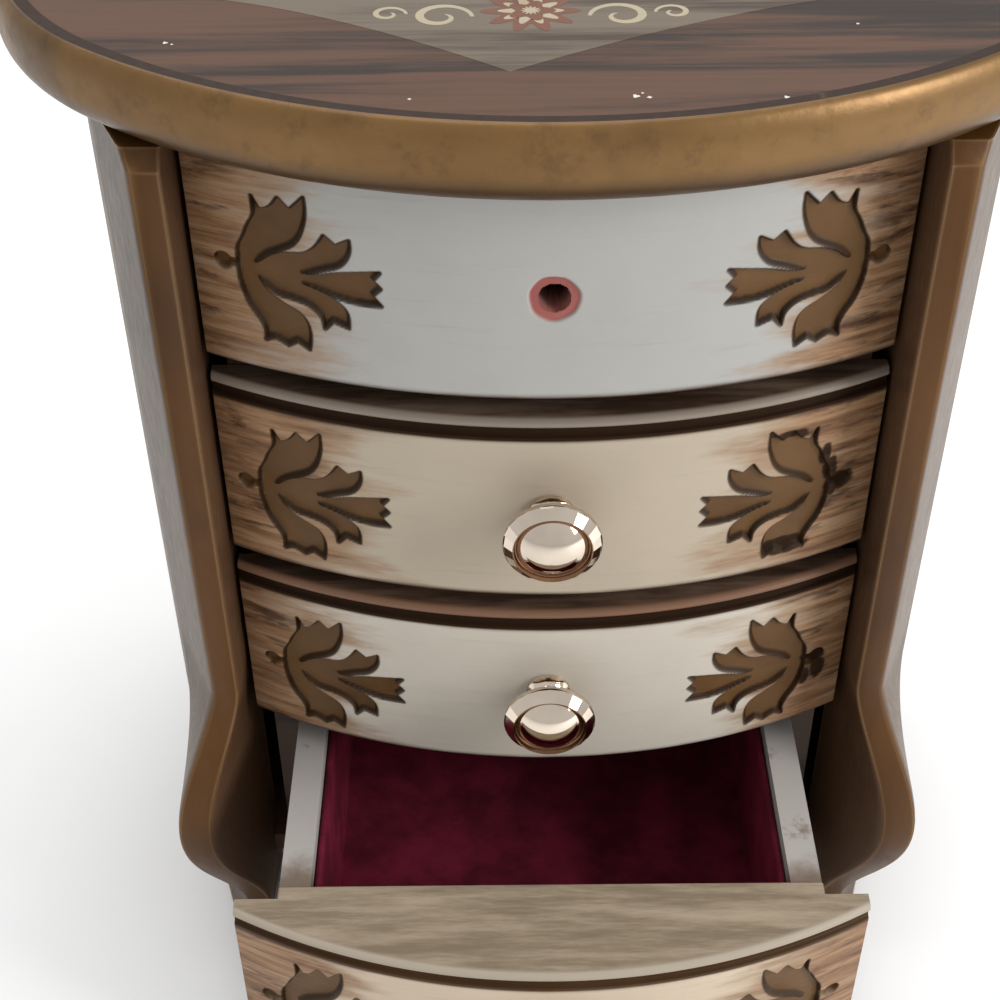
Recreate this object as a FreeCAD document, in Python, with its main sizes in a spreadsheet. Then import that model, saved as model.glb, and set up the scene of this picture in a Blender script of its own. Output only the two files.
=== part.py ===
import FreeCAD, Part
import math
import os
import Sketcher

# Musical jewelry box: an oval lift-up lid over a lined top compartment with the musical
# movement, a fixed bow front under the lid and three bow-fronted drawers between
# cabriole front legs. The lowest drawer stands open.
#
# X runs to the right, the drawers open towards -Y, Z is up and the pads stand on Z = 0.
# In the sizes below y = 0 is the plane of the closed fronts' outer ends.

os.makedirs("parts", exist_ok=True)
doc = FreeCAD.newDocument("MusicalJewelryBox")
sheet = doc.addObject("Spreadsheet::Sheet", "Sizes")
V = FreeCAD.Vector
subparts = []


class Size:
    """A length as the sheet expression that drives it, with its present value."""

    def __init__(self, text, value):
        self.text = text
        self.value = float(value)

    def joined(self, sign, other, value):
        return Size(f"({self.text} {sign} {as_size(other).text})", value)

    def __add__(self, other):
        return self.joined("+", other, self.value + as_size(other).value)

    def __sub__(self, other):
        return self.joined("-", other, self.value - as_size(other).value)

    def __mul__(self, other):
        return self.joined("*", other, self.value * as_size(other).value)

    def __truediv__(self, other):
        return self.joined("/", other, self.value / as_size(other).value)

    def __neg__(self):
        return Size(f"(0 - {self.text})", -self.value)


def as_size(number):
    return number if isinstance(number, Size) else Size(f"{number:.6f}", number)


def cell(name, value):
    """Write one driving dimension into the next row of the sheet."""
    cell.row += 1
    sheet.set(f"A{cell.row}", name)
    sheet.set(f"B{cell.row}", str(value))
    sheet.setAlias(f"B{cell.row}", name)
    return Size(f"Sizes.{name}", value)


cell.row = 0
ZERO = as_size(0)

# Bow fronts
front_width = cell("front_width", 120)
front_height = cell("front_height", 40)
front_gap = cell("front_gap", 4.5)
end_thickness = cell("end_thickness", 3)
bow_rise = cell("bow_rise", 15)
lip_height = cell("lip_height", 1.8)
groove_height = cell("groove_height", 1.7)
groove_depth = cell("groove_depth", 0.9)
tongue_depth = cell("tongue_depth", 3)
back_step = cell("back_step", 0.2)
false_height = cell("false_height", 43.7)

# Drawer boxes
box_set_in = cell("box_set_in", 8)
box_rear_gap = cell("box_rear_gap", 6.5)
box_wall = cell("box_wall", 6)
box_drop = cell("box_drop", 1.5)
back_wall = cell("back_wall", 5)
back_drop = cell("back_drop", 3)
bottom_thickness = cell("bottom_thickness", 2)
bottom_raise = cell("bottom_raise", 1.5)
lining_thickness = cell("lining_thickness", 1.2)
soft_gap = cell("soft_gap", 0.25)
run_gap = cell("run_gap", 0.3)
drawer_open = cell("drawer_open", 48.5)

# Knobs
knob_radius = cell("knob_radius", 8.75)
knob_length = cell("knob_length", 12.5)
flange_radius = cell("flange_radius", 4.3)
flange_height = cell("flange_height", 1)
neck_radius = cell("neck_radius", 2.7)
neck_start = cell("neck_start", 2)
neck_end = cell("neck_end", 5)
shoulder_radius = cell("shoulder_radius", 6)
rim_start = cell("rim_start", 6.8)
rim_end = cell("rim_end", 9.3)
disc_face = cell("disc_face", 10.3)
disc_bevel = cell("disc_bevel", 0.9)
ring_lip = cell("ring_lip", 0.8)
ring_sink = cell("ring_sink", 0.6)
dome_radius = cell("dome_radius", 4.9)
dome_step = cell("dome_step", 1.7)
knob_facets = 24
screw_radius = cell("screw_radius", 2)
screw_short = cell("screw_short", 0.5)
knob_bore = cell("knob_bore", 2.6)
chip_radius = cell("chip_radius", 4.4)
chip_depth = cell("chip_depth", 0.5)

# Case
base_height = cell("base_height", 16.5)
bottom_board = cell("bottom_board", 5)
case_depth = cell("case_depth", 105)
back_panel = cell("back_panel", 4)
side_gap = cell("side_gap", 1)
guide_thickness = cell("guide_thickness", 5)
panel_thickness = cell("panel_thickness", 4)
panel_rise = cell("panel_rise", 5.8)
panel_bottom = cell("panel_bottom", 10)
cap_thickness = cell("cap_thickness", 3)

# Legs
leg_edge = cell("leg_edge", 5.4)
leg_flare = cell("leg_flare", 9.3)
leg_depth = cell("leg_depth", 20)
leg_proud = cell("leg_proud", 10.5)
leg_bevel = cell("leg_bevel", 0.8)
knee_out = cell("knee_out", 9.5)
knee_forward = cell("knee_forward", 10)
knee_top = cell("knee_top", 76)
ankle_height = cell("ankle_height", 10)
toe_share = 0.25
knee_inner_share = 0.8
knee_power = 1.3
knee_steps = 7
pad_side = cell("pad_side", 8)
pad_inset = cell("pad_inset", 1.5)
pad_height = cell("pad_height", 1.2)

# Lid and mirror
lid_side_overhang = cell("lid_side_overhang", 13.5)
lid_front_overhang = cell("lid_front_overhang", 20.5)
lid_end_radius = cell("lid_end_radius", 60)
lid_thickness = cell("lid_thickness", 14)
lid_nose = cell("lid_nose", 6.7)
nose_share = 0.586
rim_width = cell("rim_width", 8)
lid_gap = cell("lid_gap", 0.3)
panel_sink = cell("panel_sink", 0.4)
joint_gap = cell("joint_gap", 0.05)
cut_past = cell("cut_past", 1)
mirror_width = cell("mirror_width", 90)
mirror_depth = cell("mirror_depth", 70)
mirror_thickness = cell("mirror_thickness", 1.6)
frame_width = cell("frame_width", 3.5)
frame_thickness = cell("frame_thickness", 2.2)
frame_corner = cell("frame_corner", 9)

# Hinges
hinge_spread = cell("hinge_spread", 64)
hinge_width = cell("hinge_width", 22)
leaf_height = cell("leaf_height", 11)
leaf_thickness = cell("leaf_thickness", 0.8)
knuckle_radius = cell("knuckle_radius", 1.5)
knuckle_gap = cell("knuckle_gap", 0.2)
pin_radius = cell("pin_radius", 0.7)
pin_fit = cell("pin_fit", 0.05)

# Top compartment
divider_thickness = cell("divider_thickness", 3)
bay_width = cell("bay_width", 61.3)
ring_depth = cell("ring_depth", 41.8)
divider_height = cell("divider_height", 33.3)
platform_height = cell("platform_height", 18)
roll_radius = cell("roll_radius", 6.4)
roll_crown = cell("roll_crown", 0.5)
roll_round = cell("roll_round", 2)
roll_facets = 18
cover_thickness = cell("cover_thickness", 1.5)

# Musical movement
arbor_height = cell("arbor_height", 16.3)
bedplate = cell("bedplate", 2.5)
plate_thickness = cell("plate_thickness", 1.5)
barrel_in = cell("barrel_in", 16.3)
barrel_radius = cell("barrel_radius", 10)
barrel_length = cell("barrel_length", 13)
train_module = cell("train_module", 1)
fine_module = cell("fine_module", 0.75)
gear_width = cell("gear_width", 2)
tooth_dedendum = 1.2
tooth_root_half = 0.85
tooth_tip_half = 0.3
barrel_teeth = 24
pinion_teeth = 12
great_teeth = 32
governor_teeth = 8
worm_wheel_teeth = 16
cylinder_radius = cell("cylinder_radius", 6.5)
cylinder_length = cell("cylinder_length", 21.5)
drum_facets = 36
note_pin = cell("note_pin", 0.7)
note_pin_width = cell("note_pin_width", 0.4)
note_tracks = 18
pins_per_track = 2
track_turn = 0.382
beat_turn = 0.07
arbor_radius = cell("arbor_radius", 1.2)
key_arbor_radius = cell("key_arbor_radius", 1.5)
rear_plate_in = cell("rear_plate_in", 9.5)
gear_clear = cell("gear_clear", 1)
post_width = cell("post_width", 4)
plate_rise = cell("plate_rise", 4)
bridge_rise = cell("bridge_rise", 3)
frame_reach = cell("frame_reach", 5)
comb_gap = cell("comb_gap", 0.3)
tine_length = cell("tine_length", 12)
comb_heel = cell("comb_heel", 5)
comb_thickness = cell("comb_thickness", 0.9)
tine_slot = cell("tine_slot", 0.35)
worm_radius = cell("worm_radius", 1.5)
worm_turns = 3
steps_per_turn = 12
thread_crest = 0.55
thread_root_share = 0.2
thread_crest_share = 0.1
worm_wheel_width = cell("worm_wheel_width", 1.2)
fly_radius = cell("fly_radius", 5)
fly_height = cell("fly_height", 3.6)
fly_thickness = cell("fly_thickness", 0.4)
fly_clear = cell("fly_clear", 0.5)
stop_radius = cell("stop_radius", 0.7)
stop_strip = cell("stop_strip", 1)
stop_reach = cell("stop_reach", 3.5)
stop_behind = cell("stop_behind", 4)
stop_foot = cell("stop_foot", 3)
stop_play = cell("stop_play", 0.2)
lug_width = cell("lug_width", 4)
key_clear = cell("key_clear", 3)
key_hub = cell("key_hub", 2.8)
key_hub_length = cell("key_hub_length", 5)
key_seat = cell("key_seat", 4)
key_fit = cell("key_fit", 0.01)
wing_start = cell("wing_start", 3.5)
wing_half_span = cell("wing_half_span", 9)
wing_foot = cell("wing_foot", 2.8)
wing_reach = cell("wing_reach", 12.5)
wing_round = cell("wing_round", 5)
wing_dip = cell("wing_dip", 2.4)
wing_plate = cell("wing_plate", 1.6)
eye_place = cell("eye_place", 6.5)
eye_radius = cell("eye_radius", 2)

# Places that follow from the sizes above
half_front = front_width / 2
half_box = half_front - box_set_in
bow_radius = (half_front * half_front + bow_rise * bow_rise) / (bow_rise * 2)
face_height = front_height - lip_height - groove_height
pitch = front_height + front_gap
levels = {
    4: base_height,
    3: base_height + pitch,
    2: base_height + pitch * 2,
    1: base_height + pitch * 3,
}
case_top = levels[1] + false_height
inner_half = half_box + run_gap
inner_front = end_thickness + back_step
case_rear = case_depth - leg_proud
inner_rear = case_rear - back_panel
box_depth = inner_rear - end_thickness - tongue_depth - box_rear_gap
leg_inner = half_front + side_gap
leg_outer = leg_inner + leg_edge
leg_back = leg_depth - leg_proud
side_outer = leg_outer + leg_flare
rear_leg_front = case_rear - leg_depth
side_inner = side_outer - panel_thickness
half_panel = (rear_leg_front - leg_back) / 2
panel_radius = (half_panel * half_panel + panel_rise * panel_rise) / (panel_rise * 2)
shelf_thickness = front_gap - run_gap * 2
compartment_floor = levels[1] - run_gap
case_middle = (case_rear - leg_proud) / 2
lid_half_width = side_outer + panel_rise + lid_side_overhang
lid_half_depth = (case_rear + leg_proud) / 2 + lid_front_overhang
barrel_x = barrel_in - inner_half
rear_plate_y = inner_rear - rear_plate_in
lid_base = case_top + lid_gap
axis_y = case_rear + knuckle_radius + run_gap
axis_z = case_top + lid_gap / 2

# The origin is under the middle of the whole part, knobs and key included
front_reach = drawer_open + bow_rise + knob_length
rear_reach = case_rear + key_clear + wing_start + wing_reach
home_y = (front_reach - rear_reach) / 2


def placed(thing, x=ZERO, y=ZERO, z=ZERO):
    """Tie an object's place to the sheet; y is measured from the plane of the closed fronts."""
    thing.setExpression("Placement.Base.x", x.text)
    thing.setExpression("Placement.Base.y", (home_y + y).text)
    thing.setExpression("Placement.Base.z", z.text)
    return thing


def keep(thing, label):
    """Give an object its node's name and put it on the list of sub-parts."""
    thing.Label = label
    subparts.append(thing)
    return thing


def body(label, x=ZERO, y=ZERO, z=ZERO):
    return placed(keep(doc.addObject("PartDesign::Body", label), label), x, y, z)


def origin_part(owner, role):
    return [item for item in owner.Origin.OriginFeatures if item.Role == role][0]


def sketch_on(owner, plane, offset=ZERO):
    sketch = owner.newObject("Sketcher::SketchObject", "Sketch")
    sketch.AttachmentSupport = [(origin_part(owner, plane), "")]
    sketch.MapMode = "FlatFace"
    sketch.setExpression("AttachmentOffset.Base.z", offset.text)
    return sketch


def point(corner):
    return V(corner[0].value, corner[1].value, 0)


def arc_through(start, end, radius, side):
    """The short arc of that radius; side 1 bulges to the right of the way from start to end."""
    chord = end - start
    half = chord.Length / 2
    rise = radius - math.sqrt(radius * radius - half * half)
    right = V(chord.y, -chord.x, 0).normalize()
    middle = (start + end) / 2 + right * (rise * side)
    return Part.Arc(start, middle, end) if side > 0 else Part.Arc(end, middle, start)


def outline(sketch, corners, arcs=None):
    """Draw a closed outline through corners; arcs gives an edge's number a radius and a side."""
    arcs = arcs or {}
    count = len(corners)
    first = sketch.GeometryCount
    ends = []
    for number, corner in enumerate(corners):
        start = point(corner)
        end = point(corners[(number + 1) % count])
        if number in arcs:
            radius, side = arcs[number]
            sketch.addGeometry(arc_through(start, end, radius.value, side))
        else:
            sketch.addGeometry(Part.LineSegment(start, end))
        drawn = sketch.Geometry[first + number].StartPoint
        ends.append((1, 2) if drawn.distanceToPoint(start) < 1e-6 else (2, 1))
    for number, corner in enumerate(corners):
        after = (number + 1) % count
        sketch.addConstraint(Sketcher.Constraint(
            "Coincident", first + number, ends[number][1], first + after, ends[after][0]))
        hold(sketch, "DistanceX", corner[0], -1, 1, first + number, ends[number][0])
        hold(sketch, "DistanceY", corner[1], -1, 1, first + number, ends[number][0])
    for number, (radius, side) in arcs.items():
        hold(sketch, "Radius", radius, first + number)
    return sketch


def hold(sketch, kind, size, *where):
    rule = sketch.addConstraint(Sketcher.Constraint(kind, *where, size.value))
    sketch.setExpression(f"Constraints[{rule}]", size.text)


def circle(sketch, x, y, radius):
    number = sketch.addGeometry(Part.Circle(V(x.value, y.value, 0), V(0, 0, 1), radius.value))
    hold(sketch, "DistanceX", x, -1, 1, number, 3)
    hold(sketch, "DistanceY", y, -1, 1, number, 3)
    hold(sketch, "Radius", radius, number)
    return sketch


def regular(sketch, radius, sides):
    """A regular outline about the sketch's centre, with one corner to the right."""
    return outline(sketch, corners_round(radius, sides))


def rectangle(sketch, left, low, right, high):
    return outline(sketch, [(left, low), (right, low), (right, high), (left, high)])


def pad(owner, sketch, length):
    feature = owner.newObject("PartDesign::Pad", "Pad")
    feature.Profile = sketch
    feature.setExpression("Length", length.text)
    owner.Tip = feature
    return feature


def pocket(owner, sketch, depth=None):
    """Cut along -normal of the sketch, to a depth or right through."""
    feature = owner.newObject("PartDesign::Pocket", "Pocket")
    feature.Profile = sketch
    if depth is None:
        feature.Type = "ThroughAll"
    else:
        feature.setExpression("Length", depth.text)
    owner.Tip = feature
    return feature


def edges_where(feature, test):
    doc.recompute()
    return [f"Edge{number}" for number, edge in enumerate(feature.Shape.Edges, 1) if test(edge)]


def chamfer(owner, base, names, size):
    feature = owner.newObject("PartDesign::Chamfer", "Chamfer")
    feature.Base = (base, names)
    feature.setExpression("Size", size.text)
    owner.Tip = feature
    return feature


def block(label, x, y, z, across, deep, high):
    """A plain board: its low corner and its three sizes."""
    board = doc.addObject("Part::Box", label)
    board.setExpression("Length", across.text)
    board.setExpression("Width", deep.text)
    board.setExpression("Height", high.text)
    board.Label = label
    return placed(board, x, y, z)


def facing(thing, direction):
    """Turn an object that is drawn along Z so that it points along +X, +Y or +Z."""
    turns = {"X": (V(0, 1, 0), 90), "Y": (V(1, 0, 0), -90), "Z": (V(0, 0, 1), 0)}
    thing.Placement = FreeCAD.Placement(V(), FreeCAD.Rotation(*turns[direction]))
    return thing


def rod(label, x, y, z, radius, length, direction):
    """A cylinder along +X, +Y or +Z from its start point."""
    bar = facing(doc.addObject("Part::Cylinder", label), direction)
    bar.setExpression("Radius", radius.text)
    bar.setExpression("Height", length.text)
    bar.Label = label
    return placed(bar, x, y, z)


def cut(label, base, tool):
    result = doc.addObject("Part::Cut", label)
    result.Base = base
    result.Tool = tool
    result.Label = label
    return result


def fuse(label, pieces):
    result = doc.addObject("Part::MultiFuse", label)
    result.Shapes = pieces
    result.Label = label
    return result


def flat_sided(rings):
    """A solid of flat triangles stretched from each ring of corners to the next."""
    count = len(rings[0])
    corners = [rings[0][::-1], rings[-1]]
    for ring, after in zip(rings, rings[1:]):
        for side in range(count):
            beside = (side + 1) % count
            corners.append([ring[side], ring[beside], after[side]])
            corners.append([ring[beside], after[beside], after[side]])
    faces = [Part.Face(Part.makePolygon(around + around[:1])) for around in corners]
    return Part.Solid(Part.Shell(faces))


def corners_round(radius, sides):
    """The corners of a regular outline as (right, up) pairs."""
    turns = [math.tau * side / sides for side in range(sides)]
    return [(radius * math.cos(turn), radius * math.sin(turn)) for turn in turns]


def fixed_shape(label, shape, x, y, z):
    """A form that is worked out from the sizes' present values."""
    form = doc.addObject("Part::Feature", label)
    form.Shape = shape
    return placed(form, x, y, z)


def group(label, pieces):
    """Several loose solids that share one node."""
    result = doc.addObject("Part::Compound", label)
    result.Links = pieces
    return keep(result, label)


# Bow fronts

def bow_outline(sketch, back, setback=ZERO):
    """The D of a bow front: thin square ends and a curved face."""
    ends = [(-half_front, back), (-half_front, setback), (half_front, setback), (half_front, back)]
    return outline(sketch, ends, {1: (bow_radius, 1)})


def drawer_front(number, pulled):
    front = body(f"drawer_{number}_front", ZERO, -pulled, levels[number])
    pad(front, bow_outline(sketch_on(front, "XY_Plane"), end_thickness), face_height)
    groove = sketch_on(front, "XY_Plane", face_height)
    pad(front, bow_outline(groove, end_thickness, groove_depth), groove_height)
    lip = sketch_on(front, "XY_Plane", face_height + groove_height)
    pad(front, bow_outline(lip, end_thickness), lip_height)
    tongue = sketch_on(front, "XY_Plane")
    rectangle(tongue, -half_box, ZERO, half_box, end_thickness + tongue_depth)
    pad(front, tongue, front_height)
    bore = circle(sketch_on(front, "XZ_Plane", bow_rise + cut_past), ZERO, front_height / 2, knob_bore)
    pocket(front, bore)


def false_front():
    front = body("false_front", ZERO, ZERO, levels[1])
    pad(front, bow_outline(sketch_on(front, "XY_Plane"), inner_front), false_height)
    middle = front_height / 2
    pocket(front, circle(sketch_on(front, "XZ_Plane", bow_rise + cut_past), ZERO, middle, knob_bore))
    chip = circle(sketch_on(front, "XZ_Plane", bow_rise + cut_past), ZERO, middle, chip_radius)
    pocket(front, chip, chip_depth + cut_past)


# Drawer boxes

def drawer_box(number, pulled):
    level = levels[number]
    start = end_thickness + tongue_depth
    side_height = front_height - box_drop
    inner = half_box - box_wall
    run = box_depth - back_wall
    sides = [
        block(f"side_{hand}_{number}", x, start - pulled, level, box_wall, box_depth, side_height)
        for hand, x in (("left", -half_box), ("right", inner))
    ]
    group(f"drawer_{number}_sides", sides)
    keep(block(f"drawer_{number}_back", -inner, start + run - pulled, level,
               inner * 2, back_wall, side_height - back_drop), f"drawer_{number}_back")
    keep(block(f"drawer_{number}_bottom", -inner, start - pulled, level + bottom_raise,
               inner * 2, run, bottom_thickness), f"drawer_{number}_bottom")
    floor = bottom_raise + bottom_thickness + soft_gap
    outer = block(f"lining_outer_{number}", -inner + soft_gap, start + soft_gap - pulled,
                  level + floor, inner * 2 - soft_gap * 2, run - soft_gap * 2,
                  side_height - floor - back_drop)
    wall = soft_gap + lining_thickness
    hollow = block(f"lining_hollow_{number}", -inner + wall, start + wall - pulled,
                   level + floor + lining_thickness, inner * 2 - wall * 2, run - wall * 2,
                   side_height)
    keep(cut(f"drawer_{number}_lining", outer, hollow), f"drawer_{number}_lining")


def knob(number, pulled):
    """A knob cut in flats: shank, flange, neck, stepped disc, sunk ring and dome."""
    turned = body(f"drawer_{number}_knob", ZERO, -pulled - bow_rise,
                  levels[number] + front_height / 2)
    shank_end = bow_rise + end_thickness + tongue_depth - screw_short
    flats(turned, -shank_end, screw_radius, shank_end + neck_start)
    flats(turned, ZERO, flange_radius, flange_height)
    flats(turned, flange_height, neck_radius, neck_end)
    flats(turned, neck_end, shoulder_radius, rim_start - neck_end)
    flats(turned, rim_start, knob_radius, rim_end - rim_start)
    flats(turned, rim_end, knob_radius - disc_bevel, disc_face - rim_end)
    ring = sketch_on(turned, "XZ_Plane", disc_face)
    pocket(turned, regular(ring, knob_radius - disc_bevel - ring_lip, knob_facets), ring_sink)
    dome_foot = disc_face - ring_sink
    flats(turned, dome_foot, dome_radius, knob_length - dome_foot - dome_step / 2)
    flats(turned, dome_foot, dome_radius - dome_step, knob_length - dome_foot)


def flats(owner, start, radius, length):
    """Add a many-sided disc to a knob, from start towards its front."""
    pad(owner, regular(sketch_on(owner, "XZ_Plane", start), radius, knob_facets), length)


# Case

def knee_swell(share):
    """How far the knee stands out, from 0 at the ankle to 0 again at its top."""
    return math.sin(math.pi * share) ** knee_power


def leg_section(hand, swell):
    """A leg's plan: inner face, narrow front edge with bevels, flared outer face."""
    inner = leg_inner + knee_out * (swell * knee_inner_share)
    outer = leg_outer + knee_out * swell
    front = -leg_proud - knee_forward * swell
    corners = [
        (leg_inner, leg_back), (inner, front + leg_bevel), (inner + leg_bevel, front),
        (outer - leg_bevel, front), (outer, front + leg_bevel), (side_outer, leg_back),
    ]
    return [(x * hand, y) for x, y in corners]


def front_leg(label, hand):
    leg = body(label)
    heights = [(pad_height, toe_share), (ankle_height / 2, toe_share / 3)]
    for step in range(knee_steps + 1):
        share = step / knee_steps
        swell = knee_swell(share) if 0 < share < 1 else 0.0
        heights.append((ankle_height + (knee_top - ankle_height) * share, swell))
    sections = [outline(sketch_on(leg, "XY_Plane", height), leg_section(hand, swell))
                for height, swell in heights]
    knee = leg.newObject("PartDesign::AdditiveLoft", "Knee")
    knee.Profile = sections[0]
    knee.Sections = sections[1:]
    knee.Ruled = True
    leg.Tip = knee
    pad(leg, outline(sketch_on(leg, "XY_Plane", knee_top), leg_section(hand, 0.0)),
        case_top - knee_top)


def rear_leg(label, hand):
    leg = body(label, ZERO, ZERO, pad_height)
    corners = [
        (leg_inner, case_rear), (leg_inner, rear_leg_front), (side_outer, rear_leg_front),
        (leg_outer, case_rear - leg_bevel), (leg_outer - leg_bevel, case_rear),
    ]
    pad(leg, outline(sketch_on(leg, "XY_Plane"), [(x * hand, y) for x, y in corners]),
        case_top - pad_height)


def side_panel(label, hand):
    panel = body(label, ZERO, ZERO, panel_bottom)
    corners = [(side_inner, leg_back), (side_outer, leg_back),
               (side_outer, rear_leg_front), (side_inner, rear_leg_front)]
    bends = {1: (panel_radius, hand), 3: (panel_radius, -hand)}
    pad(panel, outline(sketch_on(panel, "XY_Plane"), [(x * hand, y) for x, y in corners], bends),
        case_top - panel_bottom)


def top_cap(label, hand):
    """Closes the space between a drawer guide and the bent side panel."""
    cap = body(label, ZERO, ZERO, case_top - cap_thickness)
    corners = [
        (inner_half, inner_front), (leg_inner, inner_front), (leg_inner, leg_back),
        (side_inner, leg_back), (side_inner, rear_leg_front), (leg_inner, rear_leg_front),
        (leg_inner, inner_rear), (inner_half, inner_rear),
    ]
    pad(cap, outline(sketch_on(cap, "XY_Plane"), [(x * hand, y) for x, y in corners],
                     {3: (panel_radius, hand)}), cap_thickness)


def bottom():
    top = base_height - run_gap
    board = body("bottom_board", ZERO, ZERO, top - bottom_board)
    right = [(leg_inner, inner_front), (leg_inner, leg_back), (side_inner, leg_back),
             (side_inner, rear_leg_front), (leg_inner, rear_leg_front), (leg_inner, inner_rear)]
    left = [(-x, y) for x, y in reversed(right)]
    pad(board, outline(sketch_on(board, "XY_Plane"), right + left,
                       {2: (panel_radius, 1), 8: (panel_radius, 1)}), bottom_board)


def shelf(label, level):
    """A board in the gap under a front; its ends meet the drawer guides."""
    keep(block(label, -inner_half, inner_front, level - run_gap - shelf_thickness,
               inner_half * 2, inner_rear - inner_front, shelf_thickness), label)


def case():
    for hand, side in ((-1, "left"), (1, "right")):
        front_leg(f"front_leg_{side}", hand)
        rear_leg(f"rear_leg_{side}", hand)
        side_panel(f"side_panel_{side}", hand)
        top_cap(f"top_cap_{side}", hand)
        x = inner_half if hand > 0 else -inner_half - guide_thickness
        guide_bottom = base_height - run_gap
        keep(block(f"drawer_guide_{side}", x, inner_front, guide_bottom, guide_thickness,
                   inner_rear - inner_front, case_top - cap_thickness - guide_bottom),
             f"drawer_guide_{side}")
    bottom()
    shelf("shelf_lower", levels[3])
    shelf("shelf_upper", levels[2])
    shelf("compartment_floor", levels[1])
    false_front()
    arbor_z = compartment_floor + arbor_height
    board = block("back_board", -leg_inner, inner_rear, panel_bottom, leg_inner * 2, back_panel,
                  case_top - panel_bottom)
    hole = rod("key_hole", barrel_x, inner_rear - cut_past, arbor_z, key_hub,
               back_panel + cut_past * 2, "Y")
    keep(cut("back_panel", board, hole), "back_panel")
    right = leg_inner + pad_inset
    left = -right - pad_side
    front = leg_back - pad_inset - pad_side
    rear = rear_leg_front + pad_inset
    corners = [(left, front), (right, front), (left, rear), (right, rear)]
    pads = [block(f"pad_{number}", x, y, ZERO, pad_side, pad_side, pad_height)
            for number, (x, y) in enumerate(corners)]
    group("foot_pads", pads)


# Lid

def oval(sketch, inset):
    """A joiner's oval of four arcs, drawn in from the lid's edge by inset."""
    across = lid_half_width - lid_end_radius
    along = lid_half_depth - lid_end_radius
    side_radius = (across * across + lid_half_depth * lid_half_depth
                   - lid_end_radius * lid_end_radius) / (along * 2)
    reach = side_radius - lid_end_radius
    drop = side_radius - lid_half_depth
    end = lid_end_radius - inset
    x = across + end * across / reach
    y = end * drop / reach
    corners = [(-x, -y), (x, -y), (x, y), (-x, y)]
    bends = {0: side_radius - inset, 1: end, 2: side_radius - inset, 3: end}
    return outline(sketch, corners, {number: (radius, 1) for number, radius in bends.items()})


def oval_board(label, inset, low, height):
    board = placed(doc.addObject("PartDesign::Body", label), ZERO, case_middle, low)
    board.Label = label
    return board, pad(board, oval(sketch_on(board, "XY_Plane"), inset), height)


def behind(label, y):
    """A block that takes away what lies behind y."""
    return block(label, -lid_half_width, y, lid_base - cut_past, lid_half_width * 2,
                 lid_half_depth, lid_thickness + cut_past * 2)


def lid():
    blank, slab = oval_board("lid_blank", ZERO, lid_base, lid_thickness)
    level_edges = edges_where(slab, lambda edge: edge.BoundBox.ZLength < 1e-6)
    chamfer(blank, slab, level_edges, lid_nose * nose_share)
    flat_backed = cut("rim_blank", blank, behind("rear_cut", case_rear))
    opening, _ = oval_board("rim_opening", rim_width, lid_base - cut_past,
                            lid_thickness + cut_past * 2)
    window = cut("rim_window", opening, behind("window_cut", case_rear - rim_width))
    keep(cut("lid_rim", flat_backed, window), "lid_rim")
    middle, _ = oval_board("panel_blank", rim_width + joint_gap, lid_base,
                           lid_thickness - panel_sink)
    keep(cut("lid_panel", middle, behind("panel_cut", case_rear - rim_width - joint_gap)),
         "lid_panel")


def rounded(sketch, half_x, half_y, radius):
    corners = []
    for x, y in ((1, -1), (1, 1), (-1, 1), (-1, -1)):
        on_side = (half_x * x, (half_y - radius) * y)
        on_end = ((half_x - radius) * x, half_y * y)
        corners += [on_end, on_side] if x * y < 0 else [on_side, on_end]
    return outline(sketch, corners, {edge: (radius, 1) for edge in (0, 2, 4, 6)})


def mirror():
    middle = (inner_front + inner_rear) / 2
    glass = body("mirror", ZERO, middle, lid_base - mirror_thickness)
    inner = frame_corner - joint_gap
    pad(glass, rounded(sketch_on(glass, "XY_Plane"), mirror_width / 2 - joint_gap,
                       mirror_depth / 2 - joint_gap, inner), mirror_thickness)
    frame = body("mirror_frame", ZERO, middle, lid_base - frame_thickness)
    pad(frame, rounded(sketch_on(frame, "XY_Plane"), mirror_width / 2 + frame_width,
                       mirror_depth / 2 + frame_width, frame_corner + frame_width),
        frame_thickness)
    window = sketch_on(frame, "XY_Plane", frame_thickness + cut_past)
    pocket(frame, rounded(window, mirror_width / 2, mirror_depth / 2, frame_corner))


def hinge_leaf(name, centre, ends, upward):
    """One leaf with its knuckles; ends are the knuckles' spans along the pin."""
    clear = knuckle_radius + run_gap
    low = axis_z + clear if upward else axis_z - leaf_height
    plate = block(f"{name}_plate", centre - hinge_width / 2, case_rear, low, hinge_width,
                  leaf_thickness, leaf_height - clear)
    pieces = [plate]
    for number, (start, length) in enumerate(ends):
        tab_low = axis_z if upward else axis_z - clear
        pieces.append(block(f"{name}_tab_{number}", start, case_rear, tab_low, length,
                            leaf_thickness, clear))
        pieces.append(rod(f"{name}_knuckle_{number}", start, axis_y, axis_z, knuckle_radius,
                          length, "X"))
    bore = rod(f"{name}_bore", centre - hinge_width, axis_y, axis_z, pin_radius + pin_fit,
               hinge_width * 2, "X")
    return cut(f"{name}_leaf", fuse(f"{name}_solid", pieces), bore)


def hinges():
    case_leaves = []
    lid_leaves = []
    pins = []
    third = (hinge_width - knuckle_gap * 2) / 3
    for hand, side in ((-1, "left"), (1, "right")):
        centre = hinge_spread / 2 * hand
        start = centre - hinge_width / 2
        middle = [(start + third + knuckle_gap, third)]
        outer = [(start, third), (start + (third + knuckle_gap) * 2, third)]
        case_leaves.append(hinge_leaf(f"case_{side}", centre, middle, False))
        lid_leaves.append(hinge_leaf(f"lid_{side}", centre, outer, True))
        pins.append(rod(f"pin_{side}", start, axis_y, axis_z, pin_radius, hinge_width, "X"))
    group("hinge_case_leaves", case_leaves)
    group("hinge_lid_leaves", lid_leaves)
    group("hinge_pins", pins)


# Top compartment

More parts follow.
